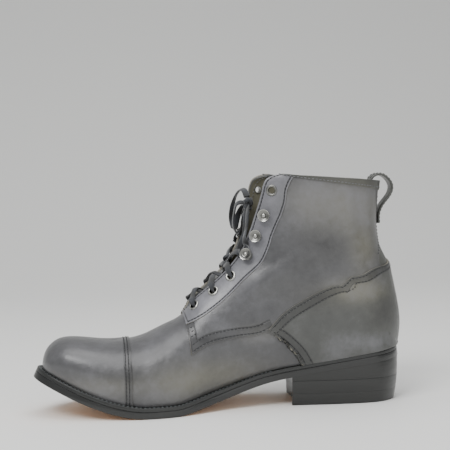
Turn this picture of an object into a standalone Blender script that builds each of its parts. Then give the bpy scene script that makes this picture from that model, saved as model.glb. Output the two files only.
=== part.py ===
"""Lace-up ankle boot for the right foot, built as its separate pieces.

Metres, +Z up. The origin is the middle of the heel's rest face on the floor, +X points to the toe
and +Y to the wearer's left, which is the inner (medial) side of a right boot.

The sole pieces are drawn flat in the sole frame (along, across, height) and then bent to the arch
and the toe spring. The upper is one surface swept through fan sections: each section is a plane
that holds the across direction, drawn from its foot on the sole's edge (or on the back line) to
its front on the ridge of the vamp (or on the edge of the throat).
"""
import math
from collections import namedtuple
from functools import lru_cache

import bmesh
import bpy
import numpy as np
from mathutils import Matrix, Vector

# Driving sizes of the sole
SOLE_LENGTH = 0.305
BALL_WIDTH = 0.105
HEEL_SET_BACK = 0.040
HEEL_RISE = 0.0365
TOE_SPRING = 0.0312
OUTSOLE_THICK = 0.0052
WELT_THICK = 0.0032
INSOLE_THICK = 0.0054
WELT_OVERHANG = 0.0048
WELT_BED = 0.0028

# Driving sizes of the heel
TOP_PIECE_THICK = 0.0096
LIFT_THICK = 0.0104
BREAST_MEDIAL = 0.0955
BREAST_LATERAL = 0.0905
BREAST_HOLLOW = 0.0035
HEEL_TAPER = 0.0034

# Driving sizes of the upper
UPPER_HEIGHT = 0.160
THROAT_HALF = 0.025
UPPER_WALL = 0.0022
PANEL_THICK = 0.0012
TRIM_THICK = 0.0014
TONGUE_THICK = 0.0022
TONGUE_OVERLAP = 0.0065
TONGUE_DEPTH = 0.010
LOOP_WIDTH = 0.013
LOOP_THICK = 0.0021
LOOP_REACH = 0.0135
LOOP_STAND_OFF = 0.0027

# Driving sizes of the fastening
EYELET_HOLE = 0.0053
EYELET_FLANGE = 0.0090
EYELET_PLATE = 0.0005
EYELET_INSET = 0.0080
HOOK_INSET = 0.0082
HOOK_CAP = 0.0098
HOOK_HEIGHT = 0.0056
HOOK_NECK = 0.0036
LACE_WIDTH = 0.0052
LACE_THICK = 0.0017
LACE_CORD = 0.0026
KNOT_LOW_SIZE = 0.0120
KNOT_TOP_SIZE = 0.0120
HOLE_SIDES = 8

# Clearances
GAP = 0.0003
PANEL_GAP = 0.0005
PANEL_FOOT = 0.0017
SEAM_GAP = 0.0005
METAL_SEAT = 0.0005
LACE_GAP = 0.0005

WELD = 0.00001
SIDES = (1, -1)
SEAT = OUTSOLE_THICK + GAP + WELT_THICK + GAP

# Where the tread is flat on the floor, as shares of the sole's length
TREAD_BACK = 0.6328
TREAD_FRONT = 0.6951

# Plan of the sole: along in shares of SOLE_LENGTH, sides in shares of BALL_WIDTH
PlanRow = namedtuple("PlanRow", "along medial lateral")
PLAN = (
    PlanRow(0.000, 0.000, 0.000),
    PlanRow(0.013, 0.148, -0.148),
    PlanRow(0.033, 0.221, -0.221),
    PlanRow(0.066, 0.283, -0.283),
    PlanRow(0.105, 0.306, -0.307),
    PlanRow(0.197, 0.306, -0.311),
    PlanRow(0.305, 0.278, -0.307),
    PlanRow(0.393, 0.264, -0.324),
    PlanRow(0.459, 0.289, -0.362),
    PlanRow(0.525, 0.351, -0.412),
    PlanRow(0.639, 0.477, -0.488),
    PlanRow(0.692, 0.500, -0.502),
    PlanRow(0.748, 0.498, -0.489),
    PlanRow(0.803, 0.478, -0.444),
    PlanRow(0.852, 0.444, -0.380),
    PlanRow(0.902, 0.396, -0.292),
    PlanRow(0.944, 0.334, -0.190),
    PlanRow(0.977, 0.259, -0.084),
    PlanRow(0.995, 0.174, 0.007),
    PlanRow(1.000, 0.086, 0.086),
)

# How far the welt stands out past the upper, in shares of WELT_OVERHANG
OverhangRow = namedtuple("OverhangRow", "along share")
OVERHANG = (
    OverhangRow(0.00, 0.32),
    OverhangRow(0.30, 0.38),
    OverhangRow(0.45, 0.60),
    OverhangRow(0.62, 0.78),
    OverhangRow(0.80, 0.88),
    OverhangRow(1.00, 1.00),
)

# Underside of the sole behind the tread: away in shares of the way back to the heel's end,
# rise in shares of HEEL_RISE
RiseRow = namedtuple("RiseRow", "away rise")
ARCH = (
    RiseRow(0.000, 0.000),
    RiseRow(0.083, 0.068),
    RiseRow(0.171, 0.189),
    RiseRow(0.275, 0.345),
    RiseRow(0.373, 0.500),
    RiseRow(0.518, 0.660),
    RiseRow(0.637, 0.757),
    RiseRow(0.793, 0.871),
    RiseRow(1.000, 1.000),
)

# Underside before the tread: away in shares of the way to the toe, rise in shares of TOE_SPRING
SPRING = (
    RiseRow(0.000, 0.000),
    RiseRow(0.172, 0.044),
    RiseRow(0.398, 0.208),
    RiseRow(0.634, 0.480),
    RiseRow(0.806, 0.722),
    RiseRow(1.000, 1.000),
)

# Fan sections of the upper. foot and front are shares of SOLE_LENGTH from the heel's end, rise and
# height are shares of UPPER_HEIGHT above the sole, girth and lean are shares of BALL_WIDTH, belt is
# where along the section it is widest, full swells its upper part, gap is a share of THROAT_HALF,
# and turn twists the top of the shaft
FanRow = namedtuple("FanRow", "foot rise front height girth belt full gap lean turn")
FAN = (
    FanRow(0.984, 0.000, 0.972, 0.006, 0.020, 0.30, 0.20, 0.00, 0.086, 0.000),
    FanRow(0.977, 0.000, 0.971, 0.042, 0.112, 0.30, 0.20, 0.00, 0.084, 0.000),
    FanRow(0.961, 0.000, 0.964, 0.092, 0.192, 0.30, 0.20, 0.00, 0.080, 0.000),
    FanRow(0.934, 0.000, 0.949, 0.141, 0.265, 0.28, 0.21, 0.00, 0.074, 0.000),
    FanRow(0.895, 0.000, 0.920, 0.193, 0.336, 0.26, 0.22, 0.00, 0.067, 0.000),
    FanRow(0.843, 0.000, 0.869, 0.234, 0.397, 0.25, 0.20, 0.00, 0.060, 0.000),
    FanRow(0.793, 0.000, 0.810, 0.261, 0.440, 0.25, 0.17, 0.00, 0.054, 0.000),
    FanRow(0.748, 0.000, 0.744, 0.295, 0.466, 0.25, 0.13, 0.00, 0.050, 0.000),
    FanRow(0.689, 0.000, 0.692, 0.330, 0.476, 0.24, 0.08, 0.00, 0.046, 0.000),
    FanRow(0.630, 0.000, 0.640, 0.376, 0.461, 0.24, 0.04, 0.00, 0.042, 0.000),
    FanRow(0.571, 0.000, 0.597, 0.413, 0.425, 0.25, 0.02, 0.00, 0.038, 0.000),
    FanRow(0.515, 0.000, 0.571, 0.465, 0.391, 0.27, 0.00, 0.34, 0.032, 0.000),
    FanRow(0.453, 0.000, 0.528, 0.515, 0.367, 0.30, 0.00, 0.46, 0.026, 0.002),
    FanRow(0.387, 0.000, 0.484, 0.567, 0.353, 0.33, 0.01, 0.56, 0.018, 0.008),
    FanRow(0.318, 0.000, 0.449, 0.630, 0.346, 0.36, 0.03, 0.68, 0.012, 0.020),
    FanRow(0.249, 0.000, 0.431, 0.680, 0.343, 0.38, 0.06, 0.76, 0.008, 0.032),
    FanRow(0.177, 0.000, 0.422, 0.725, 0.341, 0.39, 0.10, 0.82, 0.005, 0.042),
    FanRow(0.105, 0.000, 0.415, 0.762, 0.339, 0.40, 0.13, 0.86, 0.003, 0.050),
    FanRow(0.056, 0.000, 0.411, 0.789, 0.337, 0.40, 0.16, 0.89, 0.002, 0.055),
    FanRow(0.018, 0.000, 0.407, 0.814, 0.335, 0.40, 0.18, 0.91, 0.001, 0.059),
    FanRow(0.005, 0.000, 0.403, 0.836, 0.333, 0.40, 0.20, 0.93, 0.000, 0.062),
    FanRow(-0.002, 0.079, 0.399, 0.860, 0.331, 0.40, 0.21, 0.95, 0.000, 0.064),
    FanRow(-0.001, 0.166, 0.395, 0.885, 0.329, 0.40, 0.22, 0.97, 0.000, 0.066),
    FanRow(0.007, 0.262, 0.392, 0.909, 0.327, 0.41, 0.23, 0.99, 0.000, 0.068),
    FanRow(0.016, 0.351, 0.389, 0.930, 0.325, 0.42, 0.24, 1.00, 0.000, 0.070),
    FanRow(0.025, 0.428, 0.387, 0.948, 0.324, 0.43, 0.25, 1.00, 0.000, 0.070),
    FanRow(0.040, 0.494, 0.384, 0.962, 0.326, 0.44, 0.26, 1.00, 0.000, 0.070),
    FanRow(0.053, 0.566, 0.380, 0.975, 0.330, 0.45, 0.27, 1.00, 0.000, 0.070),
    FanRow(0.057, 0.648, 0.374, 0.986, 0.336, 0.46, 0.28, 1.00, 0.000, 0.070),
    FanRow(0.055, 0.748, 0.366, 0.995, 0.344, 0.47, 0.29, 1.00, 0.000, 0.070),
    FanRow(0.048, 0.870, 0.354, 1.000, 0.352, 0.48, 0.30, 1.00, 0.000, 0.070),
)
CAP_ROW = 7.0
THROAT_ROW = 10.0
HEEL_ROW = 20.0
COLLAR_ROW = len(FAN) - 1.0
BELT_V = 0.35
STRAP_ROW = 24.1
STRAP_CLEAR = 0.2
HEEL_LIFT_ROWS = 0.2
BINDING_ROWS = 0.4

# Seams of the side, as a side view shows them: along in shares of SOLE_LENGTH from the heel's end,
# height in shares of UPPER_HEIGHT above the sole
SeamRow = namedtuple("SeamRow", "along height")
QUARTER_FOOT = (
    SeamRow(0.582, 0.231),
    SeamRow(0.532, 0.252),
    SeamRow(0.488, 0.246),
    SeamRow(0.444, 0.231),
    SeamRow(0.395, 0.217),
    SeamRow(0.382, 0.222),
)
COUNTER_TOP = (
    SeamRow(0.382, 0.226),
    SeamRow(0.353, 0.276),
    SeamRow(0.307, 0.324),
    SeamRow(0.262, 0.356),
    SeamRow(0.217, 0.379),
    SeamRow(0.170, 0.400),
    SeamRow(0.121, 0.417),
    SeamRow(0.077, 0.434),
    SeamRow(0.035, 0.450),
)
COUNTER_FRONT = (
    SeamRow(0.287, 0.008),
    SeamRow(0.306, 0.070),
    SeamRow(0.333, 0.133),
    SeamRow(0.360, 0.184),
    SeamRow(0.379, 0.214),
)
EYESTAY_BACK = (
    SeamRow(0.594, 0.367),
    SeamRow(0.537, 0.398),
    SeamRow(0.492, 0.438),
    SeamRow(0.442, 0.500),
    SeamRow(0.397, 0.557),
    SeamRow(0.375, 0.629),
    SeamRow(0.352, 0.738),
    SeamRow(0.329, 0.852),
    SeamRow(0.310, 0.964),
)

# Half-width of the back strap in shares of BALL_WIDTH, by fan row
StrapRow = namedtuple("StrapRow", "row half")
BACK_STRAP = (
    StrapRow(24.0, 0.250),
    StrapRow(25.0, 0.230),
    StrapRow(26.0, 0.175),
    StrapRow(27.0, 0.105),
    StrapRow(28.0, 0.052),
    StrapRow(29.0, 0.045),
    StrapRow(30.0, 0.045),
)

# Tongue by fan row, in shares of TONGUE_DEPTH: how deep its crest lies below the throat's edge and
# how far its sides drop; over is how far it passes the throat's edge, in shares of TONGUE_OVERLAP
TongueRow = namedtuple("TongueRow", "row depth sag over")
TONGUE = (
    TongueRow(8.6, 0.55, 0.40, 1.00),
    TongueRow(9.6, 0.64, 0.70, 1.00),
    TongueRow(11.0, 0.70, 1.20, 0.80),
    TongueRow(13.0, 0.78, 1.70, 0.50),
    TongueRow(15.0, 1.00, 2.20, 0.30),
    TongueRow(18.0, 1.05, 2.50, 0.05),
    TongueRow(22.0, 1.12, 2.70, -0.05),
    TongueRow(24.4, 1.20, 2.80, -0.10),
)

# Free part of the pull loop from the collar's back point, in shares of LOOP_REACH
LoopRow = namedtuple("LoopRow", "back up")
PULL_LOOP = (
    LoopRow(-0.30, 0.20),
    LoopRow(0.20, 0.38),
    LoopRow(0.66, 0.13),
    LoopRow(0.93, -0.38),
    LoopRow(0.74, -0.96),
    LoopRow(0.36, -1.42),
)

# Fan rows of the eyelets and hooks, low to high
LOW_EYELET_ROWS = (11.05, 12.15, 13.20)
HOOK_ROWS = (14.70, 16.60, 20.40)
TOP_EYELET_ROW = 25.40
CROSSING_ROWS = 0.65

# Route of the free lace, chosen by hand and kept as points
RoutePoint = namedtuple("RoutePoint", "x y z")
KNOT_LOW = RoutePoint(0.1036, 0.0000, 0.1180)
KNOT_TOP = RoutePoint(0.0860, 0.0050, 0.1665)
TIE_ROUTE = (
    RoutePoint(0.0895, 0.0160, 0.1450),
    RoutePoint(0.0880, 0.0160, 0.1565),
)
LOOP_FRONT_ROUTE = (
    RoutePoint(0.0935, -0.0060, 0.1660),
    RoutePoint(0.0955, -0.0095, 0.1590),
    RoutePoint(0.0965, -0.0110, 0.1510),
    RoutePoint(0.0950, -0.0100, 0.1430),
    RoutePoint(0.0920, -0.0070, 0.1395),
    RoutePoint(0.0905, -0.0030, 0.1440),
    RoutePoint(0.0905, -0.0005, 0.1530),
)
LOOP_SIDE_ROUTE = (
    RoutePoint(0.0870, -0.0040, 0.1760),
    RoutePoint(0.0890, -0.0150, 0.1775),
    RoutePoint(0.0925, -0.0260, 0.1710),
    RoutePoint(0.0945, -0.0325, 0.1600),
    RoutePoint(0.0945, -0.0340, 0.1500),
    RoutePoint(0.0935, -0.0290, 0.1440),
    RoutePoint(0.0915, -0.0230, 0.1530),
    RoutePoint(0.0860, -0.0180, 0.1640),
    RoutePoint(0.0825, -0.0100, 0.1665),
)
END_FRONT_ROUTE = (
    RoutePoint(0.0885, 0.0070, 0.1530),
    RoutePoint(0.0895, 0.0070, 0.1410),
    RoutePoint(0.0930, 0.0060, 0.1320),
)

# Colours as linear red, green, blue, then roughness and metallic
Look = namedtuple("Look", "red green blue rough metal")
LEATHER_LOOK = Look(0.070, 0.070, 0.074, 0.42, 0.0)
TRIM_LOOK = Look(0.052, 0.052, 0.055, 0.45, 0.0)
EYESTAY_LOOK = Look(0.130, 0.128, 0.138, 0.40, 0.0)
EDGE_LOOK = Look(0.010, 0.010, 0.010, 0.38, 0.0)
TREAD_LOOK = Look(0.420, 0.270, 0.150, 0.60, 0.0)
LINING_LOOK = Look(0.140, 0.135, 0.110, 0.75, 0.0)
METAL_LOOK = Look(0.560, 0.560, 0.540, 0.28, 1.0)
LACE_LOOK = Look(0.008, 0.008, 0.010, 0.85, 0.0)


def clear_scene():
    """Remove whatever the scene starts with."""
    for item in list(bpy.data.objects):
        bpy.data.objects.remove(item, do_unlink=True)


def spline(keys, values, flat_start=False):
    """Smooth curve through the values, bending nowhere sharply, as a function of the key."""
    keys = np.array(keys, dtype=float)
    values = np.array(values, dtype=float)
    steps = np.diff(keys)
    slopes = np.diff(values) / steps
    count = len(keys)
    system = np.zeros((count, count))
    right = np.zeros(count)
    system[0, 0] = 1.0
    system[-1, -1] = 1.0
    if flat_start:
        system[0, 0], system[0, 1] = 2.0 * steps[0], steps[0]
        right[0] = 6.0 * slopes[0]
    for k in range(1, count - 1):
        system[k, k - 1:k + 2] = steps[k - 1], 2.0 * (steps[k - 1] + steps[k]), steps[k]
        right[k] = 6.0 * (slopes[k] - slopes[k - 1])
    bends = np.linalg.solve(system, right)

    def value(key):
        k = int(np.clip(np.searchsorted(keys, key) - 1, 0, count - 2))
        low = (keys[k + 1] - key) / steps[k]
        high = 1.0 - low
        sag = ((low ** 3 - low) * bends[k] + (high ** 3 - high) * bends[k + 1]) * steps[k] ** 2 / 6.0
        return low * values[k] + high * values[k + 1] + sag

    return value


def columns(rows):
    """Splines of every column of a table against its first column."""
    keys = [row[0] for row in rows]
    return {name: spline(keys, [getattr(row, name) for row in rows]) for name in rows[0]._fields[1:]}


def roundness(share):
    """Station of a share of the length, spaced so that both ends of an outline come out round."""
    return math.acos(1.0 - 2.0 * min(max(share, 0.0), 1.0)) / math.pi


PLAN_CURVES = {
    side: spline([roundness(row.along) for row in PLAN], [getattr(row, name) for row in PLAN])
    for side, name in ((1, "medial"), (-1, "lateral"))
}
OVERHANG_CURVE = columns(OVERHANG)["share"]
ARCH_CURVE = spline([row.away for row in ARCH], [row.rise for row in ARCH], flat_start=True)
SPRING_CURVE = spline([row.away for row in SPRING], [row.rise for row in SPRING], flat_start=True)


def along(share):
    """Place on the X axis of a share of the sole's length."""
    return share * SOLE_LENGTH - HEEL_SET_BACK


def share_of(x):
    """Share of the sole's length at a place on the X axis."""
    return (x + HEEL_SET_BACK) / SOLE_LENGTH


def tread_height(x):
    """Height of the sole's underside above the floor."""
    share = share_of(x)
    if share < TREAD_BACK:
        return HEEL_RISE * ARCH_CURVE((TREAD_BACK - share) / TREAD_BACK)
    if share > TREAD_FRONT:
        return TOE_SPRING * SPRING_CURVE((share - TREAD_FRONT) / (1.0 - TREAD_FRONT))
    return 0.0


def bend(x, y, height):
    """Carry a point of the flat sole frame to its place on the arched and sprung sole."""
    step = 0.0005
    slope = (tread_height(x + step) - tread_height(x - step)) / (2.0 * step)
    angle = math.atan(slope)
    return Vector((x - height * math.sin(angle), y, tread_height(x) + height * math.cos(angle)))


@lru_cache(maxsize=None)
def inset_outline(side, extra, overhang_share):
    """One side of the sole's outline moved inward, as arrays of places along and across."""
    fine = np.linspace(0.0, 1.0, 401)
    xs = np.array([along((1.0 - math.cos(math.pi * s)) / 2.0) for s in fine])
    ys = np.array([PLAN_CURVES[side](s) * BALL_WIDTH for s in fine])
    dx = np.gradient(xs)
    dy = np.gradient(ys)
    size = np.hypot(dx, dy)
    insets = np.array([extra + overhang_share * WELT_OVERHANG * OVERHANG_CURVE(share_of(x)) for x in xs])
    inner_xs = xs + insets * side * dy / size
    inner_ys = ys - insets * side * dx / size
    inner_xs[0] = xs[0] + insets[0]
    inner_xs[-1] = xs[-1] - insets[-1]
    inner_ys[0] = ys[0]
    inner_ys[-1] = ys[-1]
    order = np.maximum.accumulate(inner_xs)
    return order, inner_ys


def edge_y(x, side, extra=0.0, overhang_share=0.0):
    """Across place of the outline at x on one side, after an inset."""
    xs, ys = inset_outline(side, extra, overhang_share)
    return float(np.interp(x, xs, ys))


def outline_ends(extra=0.0, overhang_share=0.0):
    """First and last place along of an inset outline."""
    xs, _ = inset_outline(1, extra, overhang_share)
    return float(xs[0]), float(xs[-1])


def stations(count, first, last):
    """Places along an outline, close together at both ends, with the ends of the flat tread."""
    middle = [first + (last - first) * (1.0 - math.cos(math.pi * k / count)) / 2.0 for k in range(count + 1)]
    fixed = [along(share) for share in (TREAD_BACK, TREAD_FRONT) if first < along(share) < last]
    spacing = (last - first) / count
    kept = [x for x in middle if all(abs(x - place) > spacing / 3.0 for place in fixed)]
    return sorted(kept + fixed)


def look_material(name, look):
    """Principled material of one sub-part."""
    material = bpy.data.materials.new(name)
    material.use_nodes = True
    shader = material.node_tree.nodes["Principled BSDF"]
    shader.inputs["Base Color"].default_value = (look.red, look.green, look.blue, 1.0)
    shader.inputs["Roughness"].default_value = look.rough
    shader.inputs["Metallic"].default_value = look.metal
    return material


def finish(name, shape, look, smooth_angle=40.0):
    """Turn a bmesh into the named object, with its material and smooth shading."""
    mesh = bpy.data.meshes.new(name)
    shape.to_mesh(mesh)
    shape.free()
    mesh.shade_smooth()
    mesh.set_sharp_from_angle(angle=math.radians(smooth_angle))
    mesh.materials.append(look_material(name + "_material", look))
    item = bpy.data.objects.new(name, mesh)
    bpy.context.scene.collection.objects.link(item)
    return item


def add_sheet(shape, count_a, count_b, place, flipped=False):
    """Add a grid of quads whose vertices are put at place(a, b); it faces a cross b."""
    grid = bmesh.ops.create_grid(shape, x_segments=count_a, y_segments=count_b, size=0.5)
    for vertex in grid["verts"]:
        a = round((vertex.co.x + 0.5) * count_a)
        b = round((vertex.co.y + 0.5) * count_b)
        vertex.co = place(a, b)
    if flipped:
        faces = list({face for vertex in grid["verts"] for face in vertex.link_faces})
        bmesh.ops.reverse_faces(shape, faces=faces)
    return grid["verts"]


def weld(shape):
    """Join vertices that share a place and drop faces without area."""
    bmesh.ops.remove_doubles(shape, verts=shape.verts, dist=WELD)
    bmesh.ops.dissolve_degenerate(shape, edges=shape.edges, dist=WELD)


def solid_block(count_a, count_b, place):
    """Closed body over a grid with two layers; place(a, b, layer) gives each vertex."""
    shape = bmesh.new()
    add_sheet(shape, count_a, count_b, lambda a, b: Vector((a, b, 0.0)))
    result = bmesh.ops.extrude_face_region(shape, geom=shape.faces[:])
    for item in result["geom"]:
        if isinstance(item, bmesh.types.BMVert):
            item.co.z = 1.0
    for vertex in shape.verts:
        a, b, layer = (round(c) for c in vertex.co)
        vertex.co = place(a, b, layer)
    weld(shape)
    bmesh.ops.recalc_face_normals(shape, faces=shape.faces)
    return shape


def sole_plate(name, look, low, high, extra, overhang_share, count=30):
    """Plate over the whole outline between two heights of the sole frame."""
    first, last = outline_ends(extra, overhang_share)
    places = stations(count, first, last)

    def place(a, b, layer):
        x = places[a]
        return bend(x, edge_y(x, SIDES[b], extra, overhang_share), (low, high)[layer])

    return finish(name, solid_block(len(places) - 1, 1, place), look)


def make_outsole():
    """Outsole over the whole length, flat on the floor at the tread."""
    return sole_plate("outsole", TREAD_LOOK, 0.0, OUTSOLE_THICK, 0.0, 0.0)


def make_insole():
    """Insole that lies inside the welt's ring and the foot of the upper."""
    low = OUTSOLE_THICK + GAP
    inset = UPPER_WALL + WELT_BED / 2.0 + 2.0 * GAP
    return sole_plate("insole", LINING_LOOK, low, low + INSOLE_THICK, inset, 1.0)


def make_welt():
    """Welt as a ring that carries the foot of the upper and stands out past it."""
    low = OUTSOLE_THICK + GAP
    bed = UPPER_WALL + WELT_BED / 2.0
    first, last = outline_ends()
    inner_first, inner_last = outline_ends(bed, 1.0)
    places = stations(30, first, last)
    shape = bmesh.new()
    for side in SIDES:

        def place(a, b, side=side):
            if b == 0:
                return Vector((places[a], edge_y(places[a], side), low))
            share = (places[a] - first) / (last - first)
            x = inner_first + share * (inner_last - inner_first)
            return Vector((x, edge_y(x, side, bed, 1.0), low))

        add_sheet(shape, len(places) - 1, 1, place)
    weld(shape)
    result = bmesh.ops.extrude_face_region(shape, geom=shape.faces[:])
    for item in result["geom"]:
        if isinstance(item, bmesh.types.BMVert):
            item.co.z += WELT_THICK
    for vertex in shape.verts:
        vertex.co = bend(*vertex.co)
    bmesh.ops.recalc_face_normals(shape, faces=shape.faces)
    return finish("welt", shape, EDGE_LOOK)


def heel_inset(height):
    """How far the heel has drawn in at a height above the floor."""
    return GAP + HEEL_TAPER * max(0.0, 1.0 - height / HEEL_RISE) ** 2.5


def heel_block(name, look, low, high=None):
    """Piece of the heel between a height and another height or the underside of the outsole."""
    count_a, count_b = 12, 2

    def place(a, b, layer):
        height = low if layer == 0 else (high or HEEL_RISE)
        inset = heel_inset(height)
        back, _ = outline_ends(inset)
        across = b / count_b
        medial, lateral = BREAST_MEDIAL - HEEL_SET_BACK, BREAST_LATERAL - HEEL_SET_BACK
        hollow = BREAST_HOLLOW * 4.0 * across * (1.0 - across)
        breast = medial + (lateral - medial) * across - hollow
        x = back + (breast - back) * (1.0 - math.cos(math.pi / 2.0 * a / count_a))
        y = edge_y(x, 1, inset) + (edge_y(x, -1, inset) - edge_y(x, 1, inset)) * across
        return Vector((x, y, tread_height(x) - GAP if layer == 1 and high is None else height))

    return finish(name, solid_block(count_a, count_b, place), look)


def make_heel():
    """Top piece on the floor, one lift, and the wedge lift that takes up the heel's pitch."""
    lift_low = TOP_PIECE_THICK + GAP
    wedge_low = lift_low + LIFT_THICK + GAP
    heel_block("heel_top_piece", EDGE_LOOK, 0.0, TOP_PIECE_THICK)
    heel_block("heel_lift", EDGE_LOOK, lift_low, lift_low + LIFT_THICK)
    heel_block("heel_wedge_lift", EDGE_LOOK, wedge_low)


FAN_CURVES = {
    name: spline(range(len(FAN)), [getattr(row, name) for row in FAN]) for name in FanRow._fields
}
Section = namedtuple("Section", "foot front centre lean foot_half belt_half gap belt full turn")


def above_sole(x, height):
    """Point on the middle plane at a height above the sole's top."""
    return Vector((x, 0.0, tread_height(x) + SEAT + height))


@lru_cache(maxsize=None)
def section(row):
    """Fan section at a row, which may lie between two rows of the table."""
    foot_x = along(FAN_CURVES["foot"](row))
    rise = max(0.0, FAN_CURVES["rise"](row)) * UPPER_HEIGHT if row > HEEL_ROW else 0.0
    medial = edge_y(foot_x, 1, 0.0, 1.0)
    lateral = edge_y(foot_x, -1, 0.0, 1.0)
    foot_half = (medial - lateral) / 2.0 if row < HEEL_ROW else 0.0
    centre = (medial + lateral) / 2.0
    foot = bend(foot_x, 0.0, SEAT) + Vector((0.0, 0.0, rise))
    front = above_sole(along(FAN_CURVES["front"](row)), FAN_CURVES["height"](row) * UPPER_HEIGHT)
    gap = max(0.0, FAN_CURVES["gap"](row)) * THROAT_HALF if row > THROAT_ROW else 0.0
    belt_half = max(FAN_CURVES["girth"](row) * BALL_WIDTH, foot_half * 1.01 + GAP)
    return Section(foot, front, centre, FAN_CURVES["lean"](row) * BALL_WIDTH, foot_half, belt_half,
                   gap, FAN_CURVES["belt"](row), FAN_CURVES["full"](row), FAN_CURVES["turn"](row))


def crown(angle, full):
    """Half-width of the upper part of a section, in shares of its widest."""
    return math.cos(angle) * (1.0 + full * math.sin(angle) ** 2)


@lru_cache(maxsize=None)
def arcs(row):
    """Where the lower arc of a section starts and its upper arc ends, as angles."""
    cut = section(row)
    start = math.asin(min(cut.foot_half / cut.belt_half, 0.999))
    low, high = 0.3, math.pi / 2.0
    for _ in range(40):
        middle = (low + high) / 2.0
        if crown(middle, cut.full) * cut.belt_half > cut.gap:
            low = middle
        else:
            high = middle
    return start, (low + high) / 2.0


def profile(row, v):
    """Way along a section and half-width there, for v from 0 at its foot to 1 at its front."""
    cut = section(row)
    start, end = arcs(row)
    if v < BELT_V:
        angle = start + (math.pi / 2.0 - start) * v / BELT_V
        return cut.belt * (math.cos(start) - math.cos(angle)) / math.cos(start), \
            cut.belt_half * math.sin(angle)
    angle = end * (v - BELT_V) / (1.0 - BELT_V)
    return cut.belt + (1.0 - cut.belt) * math.sin(angle) / math.sin(end), \
        cut.belt_half * crown(angle, cut.full)


def v_of(row, way):
    """The v whose point lies a given way along a section."""
    cut = section(row)
    start, end = arcs(row)
    if way < cut.belt:
        angle = math.acos(max(-1.0, min(1.0, math.cos(start) * (1.0 - max(way, 0.0) / cut.belt))))
        return BELT_V * (angle - start) / (math.pi / 2.0 - start)
    sine = math.sin(end) * (min(way, 1.0) - cut.belt) / (1.0 - cut.belt)
    return BELT_V + (1.0 - BELT_V) * math.asin(sine) / end


def upper_point(row, v, side):
    """Point of the upper's outer surface."""
    if row <= 0.0:
        tip = outline_ends(0.0, 1.0)[1]
        return bend(tip, edge_y(tip, 1, 0.0, 1.0), SEAT)
    cut = section(row)
    way, half = profile(row, v)
    spot = cut.foot.lerp(cut.front, way)
    y = cut.centre + (cut.lean - cut.centre) * way + side * half
    return Vector((spot.x - cut.turn * y, y, spot.z))


def upper_normal(row, v, side):
    """Direction out of the upper at a point away from its poles."""
    step_row, step_v = 0.05, 0.01
    across = upper_point(row + step_row, v, side) - upper_point(row - step_row, v, side)
    up = upper_point(row, min(v + step_v, 1.0), side) - upper_point(row, v - step_v, side)
    return (across.cross(up) * side).normalized()


def outside(row, v, side, out):
    """Point a distance outside the upper."""
    return upper_point(row, v, side) + upper_normal(row, v, side) * out


def locate(seam):
    """Fan row and v of a point that a side view gives."""
    x = along(seam.along)
    spot = above_sole(x, seam.height * UPPER_HEIGHT)

    def side_of(row):
        cut = section(row)
        line = cut.front - cut.foot
        reach = spot - cut.foot
        return line.x * reach.z - line.z * reach.x

    rows = [round(0.1 * k, 1) for k in range(1, int(COLLAR_ROW * 10) + 1)]
    row = COLLAR_ROW
    for before, after in zip(rows, rows[1:]):
        first, second = side_of(before), side_of(after)
        if first * second <= 0.0 and first != second:
            row = before + (after - before) * first / (first - second)
            break
    cut = section(row)
    line = cut.front - cut.foot
    way = (spot - cut.foot).dot(line) / line.length_squared
    return row, v_of(row, way)


def seam_v_by_row(rows):
    """A seam as v against the fan row."""
    found = sorted(locate(seam) for seam in rows)
    return spline([row for row, _ in found], [v for _, v in found])


def seam_row_by_v(rows):
    """A seam as fan row against v."""
    found = sorted((v, row) for row, v in (locate(seam) for seam in rows))
    return spline([v for v, _ in found], [row for _, row in found])


def v_inset_from_front(row, distance):
    """The v that lies a distance down the surface from the front of a section."""
    v = 1.0
    step = 0.002
    travelled = 0.0
    spot = upper_point(row, v, 1)
    while travelled < distance and v > BELT_V:
        v -= step
        following = upper_point(row, v, 1)
        travelled += (following - spot).length
        spot = following
    return v


def v_of_half(row, half):
    """The v on the rounded back of a section where it is a given distance from the middle."""
    cut = section(row)
    return BELT_V * math.asin(min(1.0, half / cut.belt_half)) / (math.pi / 2.0)


def add_patch(shape, count_a, count_b, row_v):
    """Add both sides of a patch of the upper; row_v(a, b) gives the fan row and v."""
    for side in SIDES:

        def place(a, b, side=side):
            row, v = row_v(a, b)
            return upper_point(row, v, side)

        add_sheet(shape, count_a, count_b, place, flipped=side < 0)


def lift_off(shape, distance):
    """Move a sheet out along its own normals."""
    shape.normal_update()
    normals = {vertex: vertex.normal.copy() for vertex in shape.verts}
    for vertex, normal in normals.items():
        vertex.co += normal * distance


def with_thickness(item, thickness, outward):
    """Give a sheet its thickness, on the outer or the inner side."""
    wall = item.modifiers.new("wall", "SOLIDIFY")
    wall.thickness = thickness
    wall.offset = 1.0 if outward else -1.0
    return item


def panel(name, look, thickness, count_a, count_b, row_v, one_side=None, gap=PANEL_GAP):
    """Panel that lies on the upper over a patch, on both sides or on one."""
    shape = bmesh.new()
    if one_side is None:
        add_patch(shape, count_a, count_b, row_v)
    else:
        add_sheet(shape, count_a, count_b,
                  lambda a, b: upper_point(*row_v(a, b), one_side), flipped=one_side < 0)
    weld(shape)
    lift_off(shape, gap)
    return with_thickness(finish(name, shape, look), thickness, outward=True)


UPPER_ROWS = sorted(list(range(int(COLLAR_ROW) + 1)) + [0.4, 1.5, 2.5, 3.5, 10.4])
LOWER_STEPS = 5
CROWN_STEPS = 7
UPPER_VS = [BELT_V * k / LOWER_STEPS for k in range(LOWER_STEPS)] + \
    [BELT_V + (1.0 - BELT_V) * k / CROWN_STEPS for k in range(CROWN_STEPS + 1)]


def rows_between(first, last):
    """The upper's own rows from one row to another, with both ends."""
    inner = [row for row in UPPER_ROWS if first + 0.15 < row < last - 0.15]
    return [first] + inner + [last]


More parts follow.
